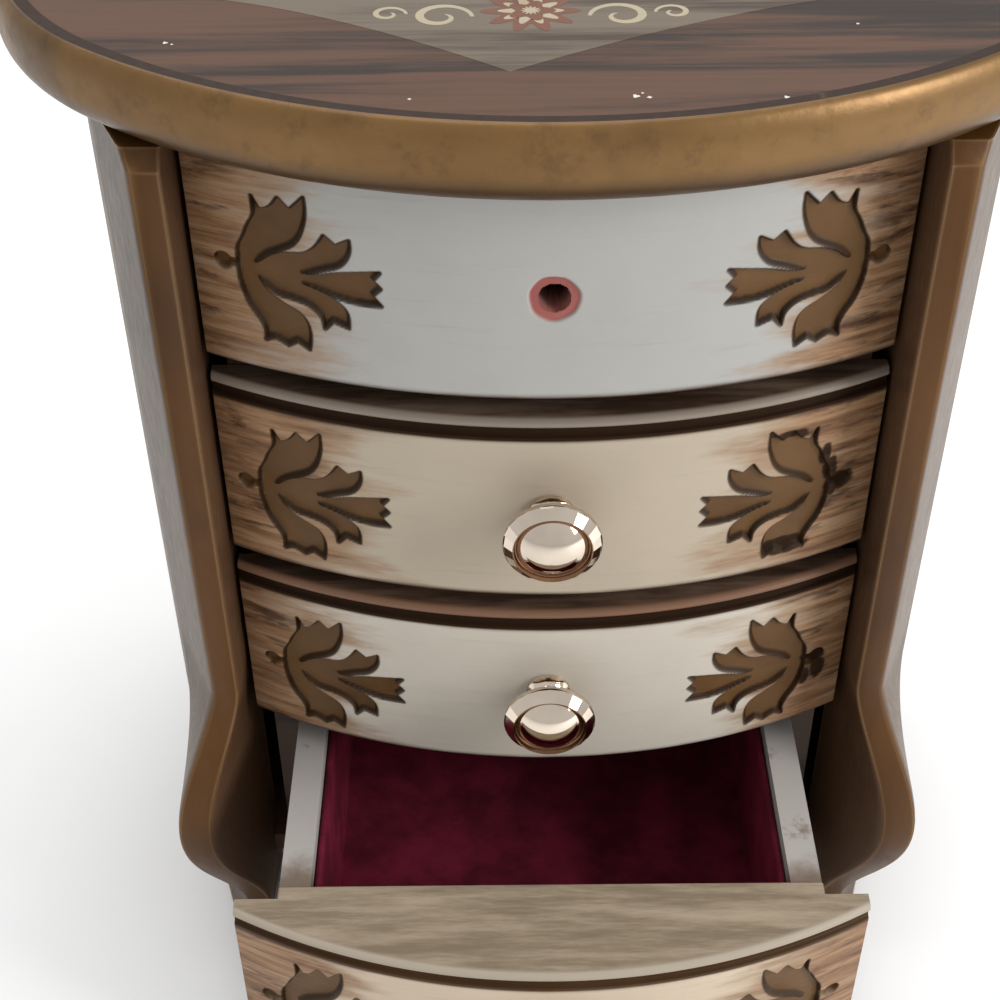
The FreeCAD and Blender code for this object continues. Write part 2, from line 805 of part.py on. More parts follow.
divider_x = bay_width - inner_half
bin_width = inner_half - divider_x - divider_thickness
cross_y = inner_front + ring_depth


def compartment():
    keep(block("partition_long", divider_x, inner_front, compartment_floor, divider_thickness,
               inner_rear - inner_front, divider_height), "partition_long")
    keep(block("partition_cross", -inner_half, cross_y, compartment_floor,
               inner_half + divider_x, divider_thickness, divider_height), "partition_cross")
    keep(block("ring_platform", -inner_half, inner_front, compartment_floor,
               inner_half + divider_x, ring_depth, platform_height), "ring_platform")
    bin_x = divider_x + divider_thickness + soft_gap
    outer = block("bin_outer", bin_x, inner_front + soft_gap, compartment_floor + soft_gap,
                  bin_width - soft_gap * 2, inner_rear - inner_front - soft_gap * 2,
                  divider_height)
    hollow = block("bin_hollow", bin_x + lining_thickness,
                   inner_front + soft_gap + lining_thickness,
                   compartment_floor + soft_gap + lining_thickness,
                   bin_width - (soft_gap + lining_thickness) * 2,
                   inner_rear - inner_front - (soft_gap + lining_thickness) * 2, divider_height)
    keep(cut("bin_lining", outer, hollow), "bin_lining")
    rolls = ("front", "middle", "rear")
    for number, name in enumerate(rolls):
        ring_roll(f"ring_roll_{name}", inner_front + ring_depth * ((number + 0.5) / len(rolls)))
    sheet_x = -inner_half + joint_gap
    clear_sheet = block("clear_sheet", sheet_x, cross_y, compartment_floor + divider_height,
                        divider_x + divider_thickness - sheet_x,
                        inner_rear - joint_gap - cross_y, cover_thickness)
    wire_hole = rod("wire_hole", stop_x, stop_y, compartment_floor + divider_height - cut_past,
                    stop_radius + stop_play, cover_thickness + cut_past * 2, "Z")
    keep(cut("movement_cover", clear_sheet, wire_hole), "movement_cover")


def ring_roll(label, y):
    """A padded roll: fuller in the middle, drawn in at its round ends."""
    length = inner_half + divider_x - soft_gap * 2
    end_radius = roll_radius - roll_crown
    stretch = [(ZERO, end_radius - roll_round), (roll_round, end_radius),
               (length / 2, roll_radius), (length - roll_round, end_radius),
               (length, end_radius - roll_round)]
    rings = [[V(along.value, right, up) for right, up in corners_round(radius.value, roll_facets)]
             for along, radius in stretch]
    height = compartment_floor + platform_height + soft_gap + roll_radius
    keep(fixed_shape(label, flat_sided(rings), soft_gap - inner_half, y, height), label)


# Musical movement

arbor_z = compartment_floor + arbor_height
cylinder_x = barrel_x + train_module * ((barrel_teeth + pinion_teeth) / 2)
governor_x = cylinder_x - fine_module * ((great_teeth + governor_teeth) / 2)
worm_x = governor_x - fine_module * (worm_wheel_teeth / 2) - worm_radius
gear_rear = rear_plate_y - plate_thickness
gear_front = gear_rear - gear_width
cylinder_rear = gear_front - gear_clear
cylinder_front = cylinder_rear - cylinder_length
great_rear = cylinder_front - gear_clear
great_front = great_rear - gear_width
front_plate_y = great_front - gear_clear - plate_thickness
barrel_front = gear_front - barrel_length
bridge_y = barrel_front - gear_clear - plate_thickness
worm_core = worm_radius - fine_module * 1.25
worm_y = great_rear + gear_width * 2
fly_z = arbor_z + fine_module * (worm_wheel_teeth / 2 + 1) + fly_clear
arm_z = fly_z + fly_height + gear_clear
stop_x = worm_x - fly_radius - stop_reach
stop_y = rear_plate_y + plate_thickness + stop_behind
staff_foot = compartment_floor + bedplate / 2


def toothed(owner, teeth, module, width):
    """A spur wheel about the body's Y axis, with one tooth towards +X."""
    pitch_radius = module * (teeth / 2)
    root_radius = pitch_radius - module * tooth_dedendum
    tip_radius = pitch_radius + module
    pad(owner, regular(sketch_on(owner, "XZ_Plane"), root_radius, teeth), width)
    flank = sketch_on(owner, "XZ_Plane")
    half_root = module * tooth_root_half
    half_tip = module * tooth_tip_half
    sunk = root_radius - module / 2
    outline(flank, [(sunk, -half_root), (tip_radius, -half_tip), (tip_radius, half_tip),
                    (sunk, half_root)])
    tooth = pad(owner, flank, width)
    ring = owner.newObject("PartDesign::PolarPattern", "Teeth")
    ring.Originals = [tooth]
    ring.Axis = (origin_part(owner, "Y_Axis"), [""])
    ring.Angle = 360
    ring.Occurrences = teeth
    owner.Tip = ring
    return ring


def wheel(label, x, y, teeth, module, turned=0.0, width=gear_width):
    """A loose toothed wheel whose rear face is at y, turned about its arbor."""
    blank = placed(doc.addObject("PartDesign::Body", label), x, y, arbor_z)
    blank.Label = label
    blank.Placement.Rotation = FreeCAD.Rotation(V(0, 1, 0), turned)
    toothed(blank, teeth, module, width)
    return blank


def spring_barrel():
    barrel = body("spring_barrel", barrel_x, gear_rear, arbor_z)
    toothed(barrel, barrel_teeth, train_module, gear_width)
    drum = regular(sketch_on(barrel, "XZ_Plane", gear_width), barrel_radius, drum_facets)
    pad(barrel, drum, barrel_length)
    bore = sketch_on(barrel, "XZ_Plane", gear_width + barrel_length + cut_past)
    pocket(barrel, circle(bore, ZERO, ZERO, key_arbor_radius + pin_fit))


def note_pins():
    """The cylinder's pins: a few on each note's track, spread round by a fixed turn."""
    pins = []
    span = cylinder_length.value / (note_tracks + 1)
    side = note_pin_width.value
    reach = note_pin.value + side
    for track in range(note_tracks):
        for beat in range(pins_per_track):
            turn = track * track_turn + beat / pins_per_track + track * beat * beat_turn
            pin = Part.makeBox(reach, side, side, V(cylinder_radius.value - side, -side / 2,
                                                    -side / 2))
            pin.translate(V(0, -span * (track + 1), 0))
            pin.rotate(V(), V(0, 1, 0), 360 * (turn % 1))
            pins.append(pin)
    return fixed_shape("note_pins", Part.makeCompound(pins), cylinder_x, cylinder_rear, arbor_z)


def pinned_cylinder():
    tube = placed(doc.addObject("PartDesign::Body", "cylinder_tube"), cylinder_x, cylinder_rear,
                  arbor_z)
    pad(tube, regular(sketch_on(tube, "XZ_Plane"), cylinder_radius, drum_facets),
        cylinder_length)
    pieces = [
        tube,
        rod("cylinder_arbor", cylinder_x, front_plate_y, arbor_z, arbor_radius,
            rear_plate_y + plate_thickness - front_plate_y, "Y"),
        wheel("drive_pinion", cylinder_x, gear_rear, pinion_teeth, train_module,
              180.0 / pinion_teeth),
        wheel("great_wheel", cylinder_x, great_rear, great_teeth, fine_module),
        note_pins(),
    ]
    keep(fuse("pinned_cylinder", pieces), "pinned_cylinder")


def governor_wheel():
    pieces = [
        rod("governor_arbor", governor_x, front_plate_y, arbor_z, arbor_radius,
            bridge_y + plate_thickness - front_plate_y, "Y"),
        wheel("governor_pinion", governor_x, great_rear, governor_teeth, fine_module,
              180.0 / governor_teeth),
        wheel("worm_wheel", governor_x, worm_y + worm_wheel_width / 2, worm_wheel_teeth,
              fine_module, width=worm_wheel_width),
    ]
    keep(fuse("governor_wheel", pieces), "governor_wheel")


def fly():
    """The air brake: a one-start worm on an upright staff that carries two blades."""
    lead = math.pi * fine_module.value
    core = worm_core.value
    crest = worm_radius.value + fine_module.value * thread_crest
    sunk = core - pin_fit.value * 3
    half_root = lead * thread_root_share
    half_crest = lead * thread_crest_share
    section = [(sunk, -half_root), (crest, -half_crest), (crest, half_crest), (sunk, half_root)]
    rings = []
    for step in range(worm_turns * steps_per_turn + 1):
        turn = math.tau * step / steps_per_turn
        rise = lead * (step / steps_per_turn - worm_turns / 2)
        rings.append([V(reach * math.cos(turn), reach * math.sin(turn), rise + up)
                      for reach, up in section])
    thread = flat_sided(rings)
    foot = (staff_foot - arbor_z).value
    top = (arm_z + plate_thickness - arbor_z).value
    around = corners_round(core, steps_per_turn)
    staff = flat_sided([[V(x, y, height) for x, y in around] for height in (foot, top)])
    span = fly_radius.value
    blade = Part.makeBox(span * 2, fly_thickness.value, fly_height.value,
                         V(-span, -fly_thickness.value / 2, (fly_z - arbor_z).value))
    keep(fixed_shape("fly", thread.fuse([staff, blade]), worm_x, worm_y, arbor_z), "fly")


def movement_frame():
    """The cast frame: bedplate, two end plates, a bridge, the comb's seat and the fly's arm."""
    floor = compartment_floor
    comb_x = cylinder_x + cylinder_radius + note_pin + comb_gap + tine_length
    left = worm_x - frame_reach
    plate_width = cylinder_x + plate_rise - left
    plate_height = arbor_height + plate_rise
    rear = rear_plate_y + plate_thickness
    bridge_end = cylinder_x - cylinder_radius - note_pin - gear_clear
    post_x = worm_x - post_width / 2
    lug_x = stop_x - lug_width / 2
    pieces = [
        block("bedplate", left, front_plate_y, floor, comb_x + comb_heel - left,
              rear - front_plate_y, bedplate),
        block("front_plate", left, front_plate_y, floor, plate_width, plate_thickness,
              plate_height),
        block("rear_plate", left, rear_plate_y, floor, plate_width, plate_thickness,
              plate_height),
        block("bridge", left, bridge_y, floor, bridge_end - left, plate_thickness,
              arbor_height + bridge_rise),
        block("comb_seat", comb_x, cylinder_front, floor, comb_heel, cylinder_length,
              arbor_height - comb_thickness / 2),
        block("arm_post", post_x, front_plate_y, floor, post_width, plate_thickness,
              arm_z + plate_thickness - floor),
        block("fly_arm", post_x, front_plate_y, arm_z, post_width,
              worm_y + post_width / 2 - front_plate_y, plate_thickness),
        block("wire_lug", lug_x, rear_plate_y, arbor_z, left + plate_thickness - lug_x,
              stop_y + lug_width / 2 - rear_plate_y, plate_thickness),
    ]
    through = arbor_radius + pin_fit
    front_start = front_plate_y - cut_past
    bridge_start = bridge_y - cut_past
    bores = [
        rod("bore_cylinder", cylinder_x, front_start, arbor_z, through,
            rear + cut_past - front_start, "Y"),
        rod("bore_governor", governor_x, front_start, arbor_z, through,
            bridge_y + plate_thickness + cut_past - front_start, "Y"),
        rod("bore_key", barrel_x, bridge_start, arbor_z, key_arbor_radius + pin_fit,
            rear + cut_past - bridge_start, "Y"),
        rod("bore_staff", worm_x, worm_y, staff_foot - joint_gap, worm_core + pin_fit,
            arm_z + plate_thickness + cut_past - staff_foot, "Z"),
        rod("bore_wire", stop_x, stop_y, arbor_z - cut_past, stop_radius + pin_fit,
            plate_thickness + cut_past * 2, "Z"),
    ]
    keep(cut("movement_frame", fuse("frame_casting", pieces), fuse("frame_bores", bores)),
         "movement_frame")


def comb():
    """The steel comb: one tine to each track of pins."""
    tip = cylinder_x + cylinder_radius + note_pin + comb_gap
    steel = body("comb", tip, cylinder_front, arbor_z - comb_thickness / 2)
    slab = sketch_on(steel, "XY_Plane")
    pad(steel, rectangle(slab, ZERO, ZERO, tine_length + comb_heel, cylinder_length),
        comb_thickness)
    tine_pitch = cylinder_length / (note_tracks + 1)
    slot = sketch_on(steel, "XY_Plane", comb_thickness + cut_past)
    first = (tine_pitch - tine_slot) / 2
    rectangle(slot, -cut_past, first, tine_length, first + tine_slot)
    gap = pocket(steel, slot)
    row = steel.newObject("PartDesign::LinearPattern", "Tines")
    row.Originals = [gap]
    row.Direction = (origin_part(steel, "Y_Axis"), [""])
    row.setExpression("Length", (tine_pitch * note_tracks).text)
    row.Occurrences = note_tracks + 1
    steel.Tip = row


def stop_wire():
    """Held down by the closed lid: its finger then stands beside the fly's blades."""
    foot = arbor_z - stop_foot
    half = stop_strip / 2
    left = stop_x - half
    front = worm_y - half
    low = fly_z + fly_height / 2 - half
    pieces = [
        rod("wire_upright", stop_x, stop_y, foot, stop_radius, lid_base - stop_play - foot, "Z"),
        block("wire_arm", left, front, low, stop_strip, stop_y - front, stop_strip),
        block("wire_finger", left, front, low, worm_x - fly_radius - fly_clear - left,
              stop_strip, stop_strip),
    ]
    keep(fuse("stop_wire", pieces), "stop_wire")


def winding_key():
    """A butterfly key on the end of the winding arbor."""
    hub_y = case_rear + key_clear
    keep(rod("winding_arbor", barrel_x, bridge_y, arbor_z, key_arbor_radius,
             hub_y + key_seat - bridge_y, "Y"), "winding_arbor")
    hub = rod("key_barrel", barrel_x, hub_y, arbor_z, key_hub, key_hub_length, "Y")
    wings = placed(doc.addObject("PartDesign::Body", "key_wings"), barrel_x,
                   hub_y + wing_start, arbor_z - wing_plate / 2)
    corners = [(-key_hub, ZERO), (key_hub, ZERO), (wing_half_span, wing_foot),
               (wing_half_span, wing_reach), (key_hub, wing_reach - wing_dip),
               (-key_hub, wing_reach - wing_dip), (-wing_half_span, wing_reach),
               (-wing_half_span, wing_foot)]
    plate = outline(sketch_on(wings, "XY_Plane"), corners,
                    {2: (wing_round, 1), 6: (wing_round, 1)})
    pad(wings, plate, wing_plate)
    eyes = sketch_on(wings, "XY_Plane", wing_plate + cut_past)
    for hand in (-1, 1):
        circle(eyes, eye_place * hand, (wing_foot + wing_reach) / 2, eye_radius)
    pocket(wings, eyes)
    bore = rod("key_socket", barrel_x, hub_y - cut_past, arbor_z, key_arbor_radius + key_fit,
               key_seat + cut_past, "Y")
    keep(cut("winding_key", fuse("key_solid", [hub, wings]), bore), "winding_key")


# Assemble

case()
for drawer, pulled in ((2, ZERO), (3, ZERO), (4, drawer_open)):
    drawer_front(drawer, pulled)
    drawer_box(drawer, pulled)
    knob(drawer, pulled)
lid()
mirror()
hinges()
compartment()
movement_frame()
spring_barrel()
pinned_cylinder()
governor_wheel()
fly()
comb()
stop_wire()
winding_key()
doc.recompute()

for thing in doc.Objects:
    if "Invalid" in thing.State or "Error" in thing.State:
        raise RuntimeError(f"{thing.Label} did not build: {thing.State}")
for thing in subparts:
    shape = thing.Shape
    if shape.isNull() or not shape.isValid() or not shape.Solids:
        raise RuntimeError(f"{thing.Label} has no valid solid")
    shape.exportStep(os.path.join("parts", f"{thing.Label}.step"))
print(len(subparts), "sub-parts,", sum(len(thing.Shape.Solids) for thing in subparts), "solids")
box = Part.makeCompound([thing.Shape for thing in subparts]).BoundBox
print("size", round(box.XLength, 2), round(box.YLength, 2), round(box.ZLength, 2),
      "low corner", round(box.XMin, 2), round(box.YMin, 2), round(box.ZMin, 2))
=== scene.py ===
# %% [markdown]
# # A musical jewelry box
# The box stands on two cabriole legs in front and two plain ones behind. An oval lid covers a
# lined compartment, the top front is fixed, and three bow-fronted drawers run below it, the
# lowest one open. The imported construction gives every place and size. This lesson adds the
# finish: carved fronts, turned knobs, velvet, painted wood and polished metal.

# %% Load the construction
import math

import bmesh
import bpy
import numpy as np
from mathutils import Matrix, Vector


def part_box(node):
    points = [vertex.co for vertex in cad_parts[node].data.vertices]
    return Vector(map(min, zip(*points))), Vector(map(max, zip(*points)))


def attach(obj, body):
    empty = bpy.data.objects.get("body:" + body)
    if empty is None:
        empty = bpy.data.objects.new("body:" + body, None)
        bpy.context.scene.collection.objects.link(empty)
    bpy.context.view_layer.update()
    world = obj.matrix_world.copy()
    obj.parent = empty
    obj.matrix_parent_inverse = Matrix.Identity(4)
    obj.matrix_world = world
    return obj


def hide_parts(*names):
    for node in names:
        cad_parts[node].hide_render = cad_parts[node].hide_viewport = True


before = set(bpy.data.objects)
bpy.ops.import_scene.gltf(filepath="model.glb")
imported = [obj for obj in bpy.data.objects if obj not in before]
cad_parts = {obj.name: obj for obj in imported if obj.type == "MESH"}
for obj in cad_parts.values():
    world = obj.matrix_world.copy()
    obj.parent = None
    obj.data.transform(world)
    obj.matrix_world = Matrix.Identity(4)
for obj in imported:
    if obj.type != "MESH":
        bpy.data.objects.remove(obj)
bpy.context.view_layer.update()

MM = 0.001

# %% [markdown]
# ## Places that every piece shares
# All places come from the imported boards. The plane of the closed fronts' ends is the datum for
# depth, because the bow of each front, the legs and the drawers are all measured from it.

# %% Find the datum planes
BOW_RISE = 15 * MM
HALF_FRONT = 60 * MM
BOW_RADIUS = (HALF_FRONT ** 2 + BOW_RISE ** 2) / (2 * BOW_RISE)
END_THICKNESS = 3 * MM
FRONT_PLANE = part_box("false_front")[0].y + BOW_RISE
FRONT_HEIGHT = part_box("drawer_2_front")[1].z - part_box("drawer_2_front")[0].z
print("front plane", round(FRONT_PLANE, 5), "front height", round(FRONT_HEIGHT, 5))

# %% [markdown]
# ## Small helpers for making pieces
# A bmesh is turned into an object in one place, so that each piece is named, smooth where it
# should be, and rides on the body that carries it. Riding makes it move with its drawer or lid.
# The others start a block, soften its edges, draw a loop of edges onwards, and turn a profile.

# %% Make and finish meshes


def finished(name, edit, material, body, stands_for=None, smooth_angle=35.0):
    """Make the edited mesh an object at the origin that rides on a body."""
    bmesh.ops.recalc_face_normals(edit, faces=edit.faces)
    mesh = bpy.data.meshes.new(name)
    edit.to_mesh(mesh)
    edit.free()
    mesh.materials.append(material)
    mesh.shade_smooth()
    mesh.set_sharp_from_angle(angle=math.radians(smooth_angle))
    piece = bpy.data.objects.new(name, mesh)
    bpy.context.scene.collection.objects.link(piece)
    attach(piece, body)
    if stands_for:
        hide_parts(stands_for)
    return piece


def block(low, high):
    """A box between two corners, to be worked on."""
    edit = bmesh.new()
    low, high = Vector(low), Vector(high)
    place = Matrix.Translation((low + high) / 2) @ Matrix.Diagonal((*(high - low), 1))
    bmesh.ops.create_cube(edit, size=1, matrix=place)
    return edit


def softened(edit, edge_round, segments=3):
    """Round every edge."""
    bmesh.ops.bevel(edit, geom=edit.edges[:], offset=edge_round, segments=segments,
                    affect="EDGES", profile=0.5, material=-1)
    return edit


def points_in(result):
    """The points among what a bmesh operator gives back."""
    return [item for item in result["geom"] if isinstance(item, bmesh.types.BMVert)]


def drawn_on(edit, edges):
    """Draw edges out into faces; give the new points and the new edges between them."""
    result = bmesh.ops.extrude_edge_only(edit, edges=edges)
    points = points_in(result)
    fresh = set(points)
    lines = [item for item in result["geom"]
             if isinstance(item, bmesh.types.BMEdge) and fresh.issuperset(item.verts)]
    return points, lines


def turned(profile, middle, along, steps=64):
    """Spin a profile of (distance along the axis, radius) pairs, in mm, about an axis."""
    edit = bmesh.new()
    along = Vector(along).normalized()
    outward = along.orthogonal().normalized()
    corners = [edit.verts.new(Vector(middle) + along * (place * MM) + outward * (radius * MM))
               for place, radius in profile]
    edges = [edit.edges.new(pair) for pair in zip(corners, corners[1:])]
    bmesh.ops.spin(edit, geom=corners + edges, cent=middle, axis=along, angle=math.tau,
                   steps=steps, use_merge=True)
    bmesh.ops.remove_doubles(edit, verts=edit.verts, dist=1e-6)
    return edit


print("helpers ready")

# %% [markdown]
# ## Helpers for materials
# Each finish is a small node tree. What comes out of a node is wrapped as a flow, so that a sum
# or a product of flows reads as arithmetic and adds the nodes that work it out. The helpers add
# noise, mix two colours and wire the shader, so that a material reads as a list of layers.

# %% Node helpers


class Flow:
    """What comes out of a node."""

    def __init__(self, socket):
        self.socket = socket

    def __add__(self, other):
        return worked("ADD", self, other)

    def __sub__(self, other):
        return worked("SUBTRACT", self, other)

    def __rsub__(self, other):
        return worked("SUBTRACT", other, self)

    def __mul__(self, other):
        return worked("MULTIPLY", self, other)


def wire(socket, value):
    """Link a flow to the socket, or set the socket to a plain number or colour."""
    if isinstance(value, Flow):
        socket.id_data.links.new(value.socket, socket)
    else:
        socket.default_value = (*value, 1) if socket.type == "RGBA" else value


def added(tree, kind, inputs, output, **settings):
    """Add a node, set it up, wire its inputs and give one of its outputs."""
    node = tree.nodes.new("ShaderNode" + kind)
    for setting, value in settings.items():
        setattr(node, setting, value)
    for name, value in inputs.items():
        wire(node.inputs[name], value)
    return Flow(node.outputs[output])


def worked(operation, *values):
    """One step of arithmetic on plain numbers."""
    tree = next(value.socket.id_data for value in values if isinstance(value, Flow))
    return added(tree, "Math", dict(enumerate(values)), 0, operation=operation)


def mixed(share, first, second):
    """A colour that goes from first to second with share."""
    return added(share.socket.id_data, "Mix", {0: share, 6: first, 7: second}, 2, data_type="RGBA")


def between(value, low, high):
    """0 below low, 1 above high, and smooth in between."""
    return added(value.socket.id_data, "MapRange",
                 {"Value": value, "From Min": low, "From Max": high}, "Result",
                 interpolation_type="SMOOTHSTEP")


def grain(tree, stretch, detail=4.0, roughness=0.6, distortion=0.0):
    """Noise on the piece's own coordinates; stretch is how many waves fit in a metre."""
    if not isinstance(stretch, tuple):
        stretch = (stretch,) * 3
    place = added(tree, "TexCoord", {}, "Object")
    scaled = added(tree, "Mapping", {"Vector": place, "Scale": stretch}, "Vector")
    return added(tree, "TexNoise", {"Vector": scaled, "Scale": 1.0, "Detail": detail,
                                    "Roughness": roughness, "Distortion": distortion}, "Fac")


def split(kind, flow):
    """The three parts of a direction or a colour."""
    node = flow.socket.id_data.nodes.new("ShaderNodeSeparate" + kind)
    wire(node.inputs[0], flow)
    return [Flow(socket) for socket in node.outputs]


def own(tree, output):
    """The x, y and z of the piece's own place (Object) or facing direction (Normal)."""
    return split("XYZ", added(tree, "TexCoord", {}, output))


def stored(tree, name, output="Fac"):
    """What the piece's points carry under that name."""
    return added(tree, "Attribute", {}, output, attribute_name=name)


def worn_and_lit_edge(tree, radius, narrow, wide):
    """Where an edge stands out, from a bevelled normal set against the true one."""
    soft = added(tree, "Bevel", {"Radius": radius}, "Normal", samples=4)
    true = added(tree, "NewGeometry", {}, "True Normal")
    alike = added(tree, "VectorMath", {0: soft, 1: true}, "Value", operation="DOT_PRODUCT")
    return between(1.0 - alike, narrow, wide)


def shaded(colour, factor):
    """The same colour, darker or lighter."""
    return tuple(min(1.0, part * factor) for part in colour)


def new_finish(name, roughness, metallic=0.0, specular=0.5):
    """A new material with its Principled shader."""
    finish = bpy.data.materials.new(name)
    finish.use_nodes = True
    shader = finish.node_tree.nodes["Principled BSDF"]
    wire(shader.inputs["Roughness"], roughness)
    wire(shader.inputs["Metallic"], metallic)
    wire(shader.inputs["Specular IOR Level"], specular)
    return finish, finish.node_tree, shader


def coat(shader, colour, roughness, height, depth, strength=0.6):
    """Wire the shader's colour, roughness and bump; the bump's depth is in metres."""
    wire(shader.inputs["Base Color"], colour)
    wire(shader.inputs["Roughness"], roughness)
    wire(shader.inputs["Normal"], added(
        shader.id_data, "Bump", {"Height": height, "Strength": strength, "Distance": depth},
        "Normal"))


print("node helpers ready")

# %% [markdown]
# ## Antique gold on the legs and rim
# The wood is painted a greyish brown and rubbed with bronze. Its corners carry a lighter line,
# partly wear and partly a painted highlight. One paint could be a single colour, but on the real
# box the faces that look forwards are more gold and the ones that look at the drawers are nearly
# bare stain. The faces that look outwards are painted greyer, as a painted reflection of the white
# surroundings. The piece's own normal chooses between them, long soft streaks vary all, and painted
# shade darkens the paint towards the foot. The lid's rim is warmer and smoother, with brown rubs.
# It is brown on top, where the gold is worn, and darker under its nose as painted shade with some
# dirt; between the two its middle stays bright as a painted highlight.

# %% Gold and grey rubbed paint


def rubbed_gold():
    finish, tree, shader = new_finish("rubbed_gold", 0.42, specular=0.2)
    side, _, height = own(tree, "Object")
    away = own(tree, "Normal")[0] * worked("SIGN", side)
    streak = grain(tree, (90, 90, 22), detail=6)
    cloud = grain(tree, (28, 28, 16), detail=3)
    fleck = grain(tree, (900, 900, 260), detail=2)
    gold = mixed(streak, (0.05, 0.018, 0.004), (0.13, 0.056, 0.013))
    # The faces that look outwards take a greyer copy of the gold: a painted reflection of the white
    # surroundings.
    grey_reflection = mixed(streak, (0.078, 0.052, 0.035), (0.15, 0.11, 0.078))
    paint = mixed(between(away, 0.72, 0.93), gold, grey_reflection)
    paint = mixed(between(away, -0.45, -0.85) * 0.75, paint, (0.112, 0.061, 0.035))
    # Painted shade: the paint darkens towards the foot.
    paint = mixed(between(height, 0.05, 0.012) * 0.35, paint, (0.026, 0.013, 0.007))
    paint = mixed(between(cloud, 0.52, 0.75) * 0.5, paint, (0.022, 0.011, 0.006))
    # A lighter line along the corners: partly wear, partly a painted highlight.
    paint = mixed(worn_and_lit_edge(tree, 0.001, 0.02, 0.18), paint, (0.29, 0.175, 0.08))
    coat(shader, paint, fleck * 0.25 + 0.27, streak + fleck * 0.3, 0.0002)
    return finish


def rim_gold():
    finish, tree, shader = new_finish("rim_gold", 0.38, metallic=0.45, specular=0.3)
    streak = grain(tree, (20, 60, 60), detail=6)
    cloud = grain(tree, 24, detail=4)
    fine = grain(tree, 800, detail=2)
    speck = grain(tree, 170, detail=5, roughness=0.7)
    upward = own(tree, "Normal")[2]
    paint = mixed(streak, (0.125, 0.064, 0.02), (0.28, 0.158, 0.058))
    paint = mixed(between(speck, 0.5, 0.72) * 0.38, paint, (0.07, 0.036, 0.016))
    # Darker under the nose: painted shade with some dirt. Brown on the top, where the gold is worn.
    # Between the two the middle stays bright as a painted highlight.
    paint = mixed(between(upward, 0.1, -0.65) * 0.75, paint, (0.04, 0.019, 0.007))
    paint = mixed(between(upward, 0.7, 0.98) * 0.6, paint, (0.06, 0.032, 0.014))
    paint = mixed(between(cloud, 0.5, 0.72) * 0.6, paint, (0.045, 0.024, 0.011))
    coat(shader, paint, speck * 0.35 + 0.2, cloud + fine * 0.1, 0.0006)
    return finish


RUBBED_GOLD = rubbed_gold()
RIM_GOLD = rim_gold()
print("finishes", RUBBED_GOLD.name, RIM_GOLD.name)

# %% [markdown]
# ## Cream paint with brushed brown ends
# Each front is off-white in the middle. Brown glaze is dragged along the wood at both ends, in long
# streaks, and fills the carving. Each point of a front carries what the paint needs: how far it is
# glazed; how dark a line runs over it, partly stains and glaze in the cuts and partly painted
# shade; how much painted highlight it has on the lip and on the leaf's lower walls; whether the
# wood is bare; and how near an edge it lies, where dirt and painted shade darken it. So the glaze
# lies exactly in the cuts, whatever side they are seen from. The upper face has a brushed paint of
# its own, darker on the two middle drawers as painted shade.

# %% Antiqued cream paint
GLAZE_FADE = 0.016
GLAZE_WANDER = 0.055


def antiqued_cream(name, cream, glaze_start, top_dark, top_light, lip_paint_and_light):
    finish, tree, shader = new_finish(name, 0.45)
    # The carving's three channels: glaze, dark lines with painted shade, and painted highlight.
    glazed, dark_lines_and_shade, blend_weight = split("Color", stored(tree, "carving", "Color"))
    across = own(tree, "Object")[0]
    upward = own(tree, "Normal")[2]
    streak = grain(tree, (22, 60, 520), detail=8, roughness=0.7)
    broad = grain(tree, (26, 30, 150), detail=5)
    mottle = grain(tree, 60, detail=4)
    fine = grain(tree, (300, 900, 900), detail=3)
    blot = grain(tree, (50, 60, 260), detail=6, roughness=0.7, distortion=0.3)
    top_brush = grain(tree, (30, 240, 60), detail=8, roughness=0.7)
    ends = worked("ABSOLUTE", across) + (broad - 0.5) * GLAZE_WANDER
    paint = mixed(between(mottle, 0.4, 0.7) * 0.25, cream, shaded(cream, 0.86))
    paint = mixed(between(streak, 0.55, 0.8) * 0.22, paint, (0.19, 0.125, 0.07))
    wash = between(ends, glaze_start - 0.006, glaze_start + 0.008) * 0.8
    paint = mixed(wash, paint, (0.315, 0.205, 0.12))
    brown = mixed(between(streak, 0.35, 0.7), (0.35, 0.2, 0.102), (0.122, 0.055, 0.025))
    glaze = between(ends, glaze_start, glaze_start + GLAZE_FADE) * between(streak, 0.24, 0.5)
    paint = mixed(glaze, paint, brown)
    blotted = between(blot, 0.5, 0.66) * between(ends, glaze_start + 0.004, glaze_start + 0.016)
    paint = mixed(blotted * 0.8, paint, (0.034, 0.015, 0.008))
    # Dirt and painted shade along the top and bottom edges of the face.
    at_edge = stored(tree, "edge_dirt_and_shade") * (broad + 0.45)
    paint = mixed(between(at_edge, 0.3, 0.75), paint, (0.05, 0.025, 0.014))
    # The upper face's own brushed paint; its colours are darker on the two middle drawers as
    # painted shade.
    top_paint = mixed(between(top_brush, 0.35, 0.68), top_dark, top_light)
    paint = mixed(between(upward, 0.75, 0.95), paint, top_paint)
    paint = mixed(glazed, paint, mixed(mottle, (0.066, 0.027, 0.007), (0.165, 0.084, 0.026)))
    # Dark lines: stains and glaze in the cuts, with painted shade on the leaf's upper walls, in the
    # groove, under the lip's round and in the knob's hole.
    paint = mixed(dark_lines_and_shade, paint, (0.018, 0.009, 0.005))
    # Painted highlight on the lip and on the leaf's lower walls.
    paint = mixed(blend_weight, paint, lip_paint_and_light)
    bare = mixed(mottle, (0.21, 0.048, 0.044), (0.43, 0.155, 0.125))
    paint = mixed(stored(tree, "raw_wood"), paint, bare)
    coat(shader, paint, fine * 0.25 + 0.32, streak + fine * 0.35, 0.00022, 0.5)
    wire(shader.inputs["Specular IOR Level"], (1.0 - dark_lines_and_shade * 0.85) * 0.22)
    return finish


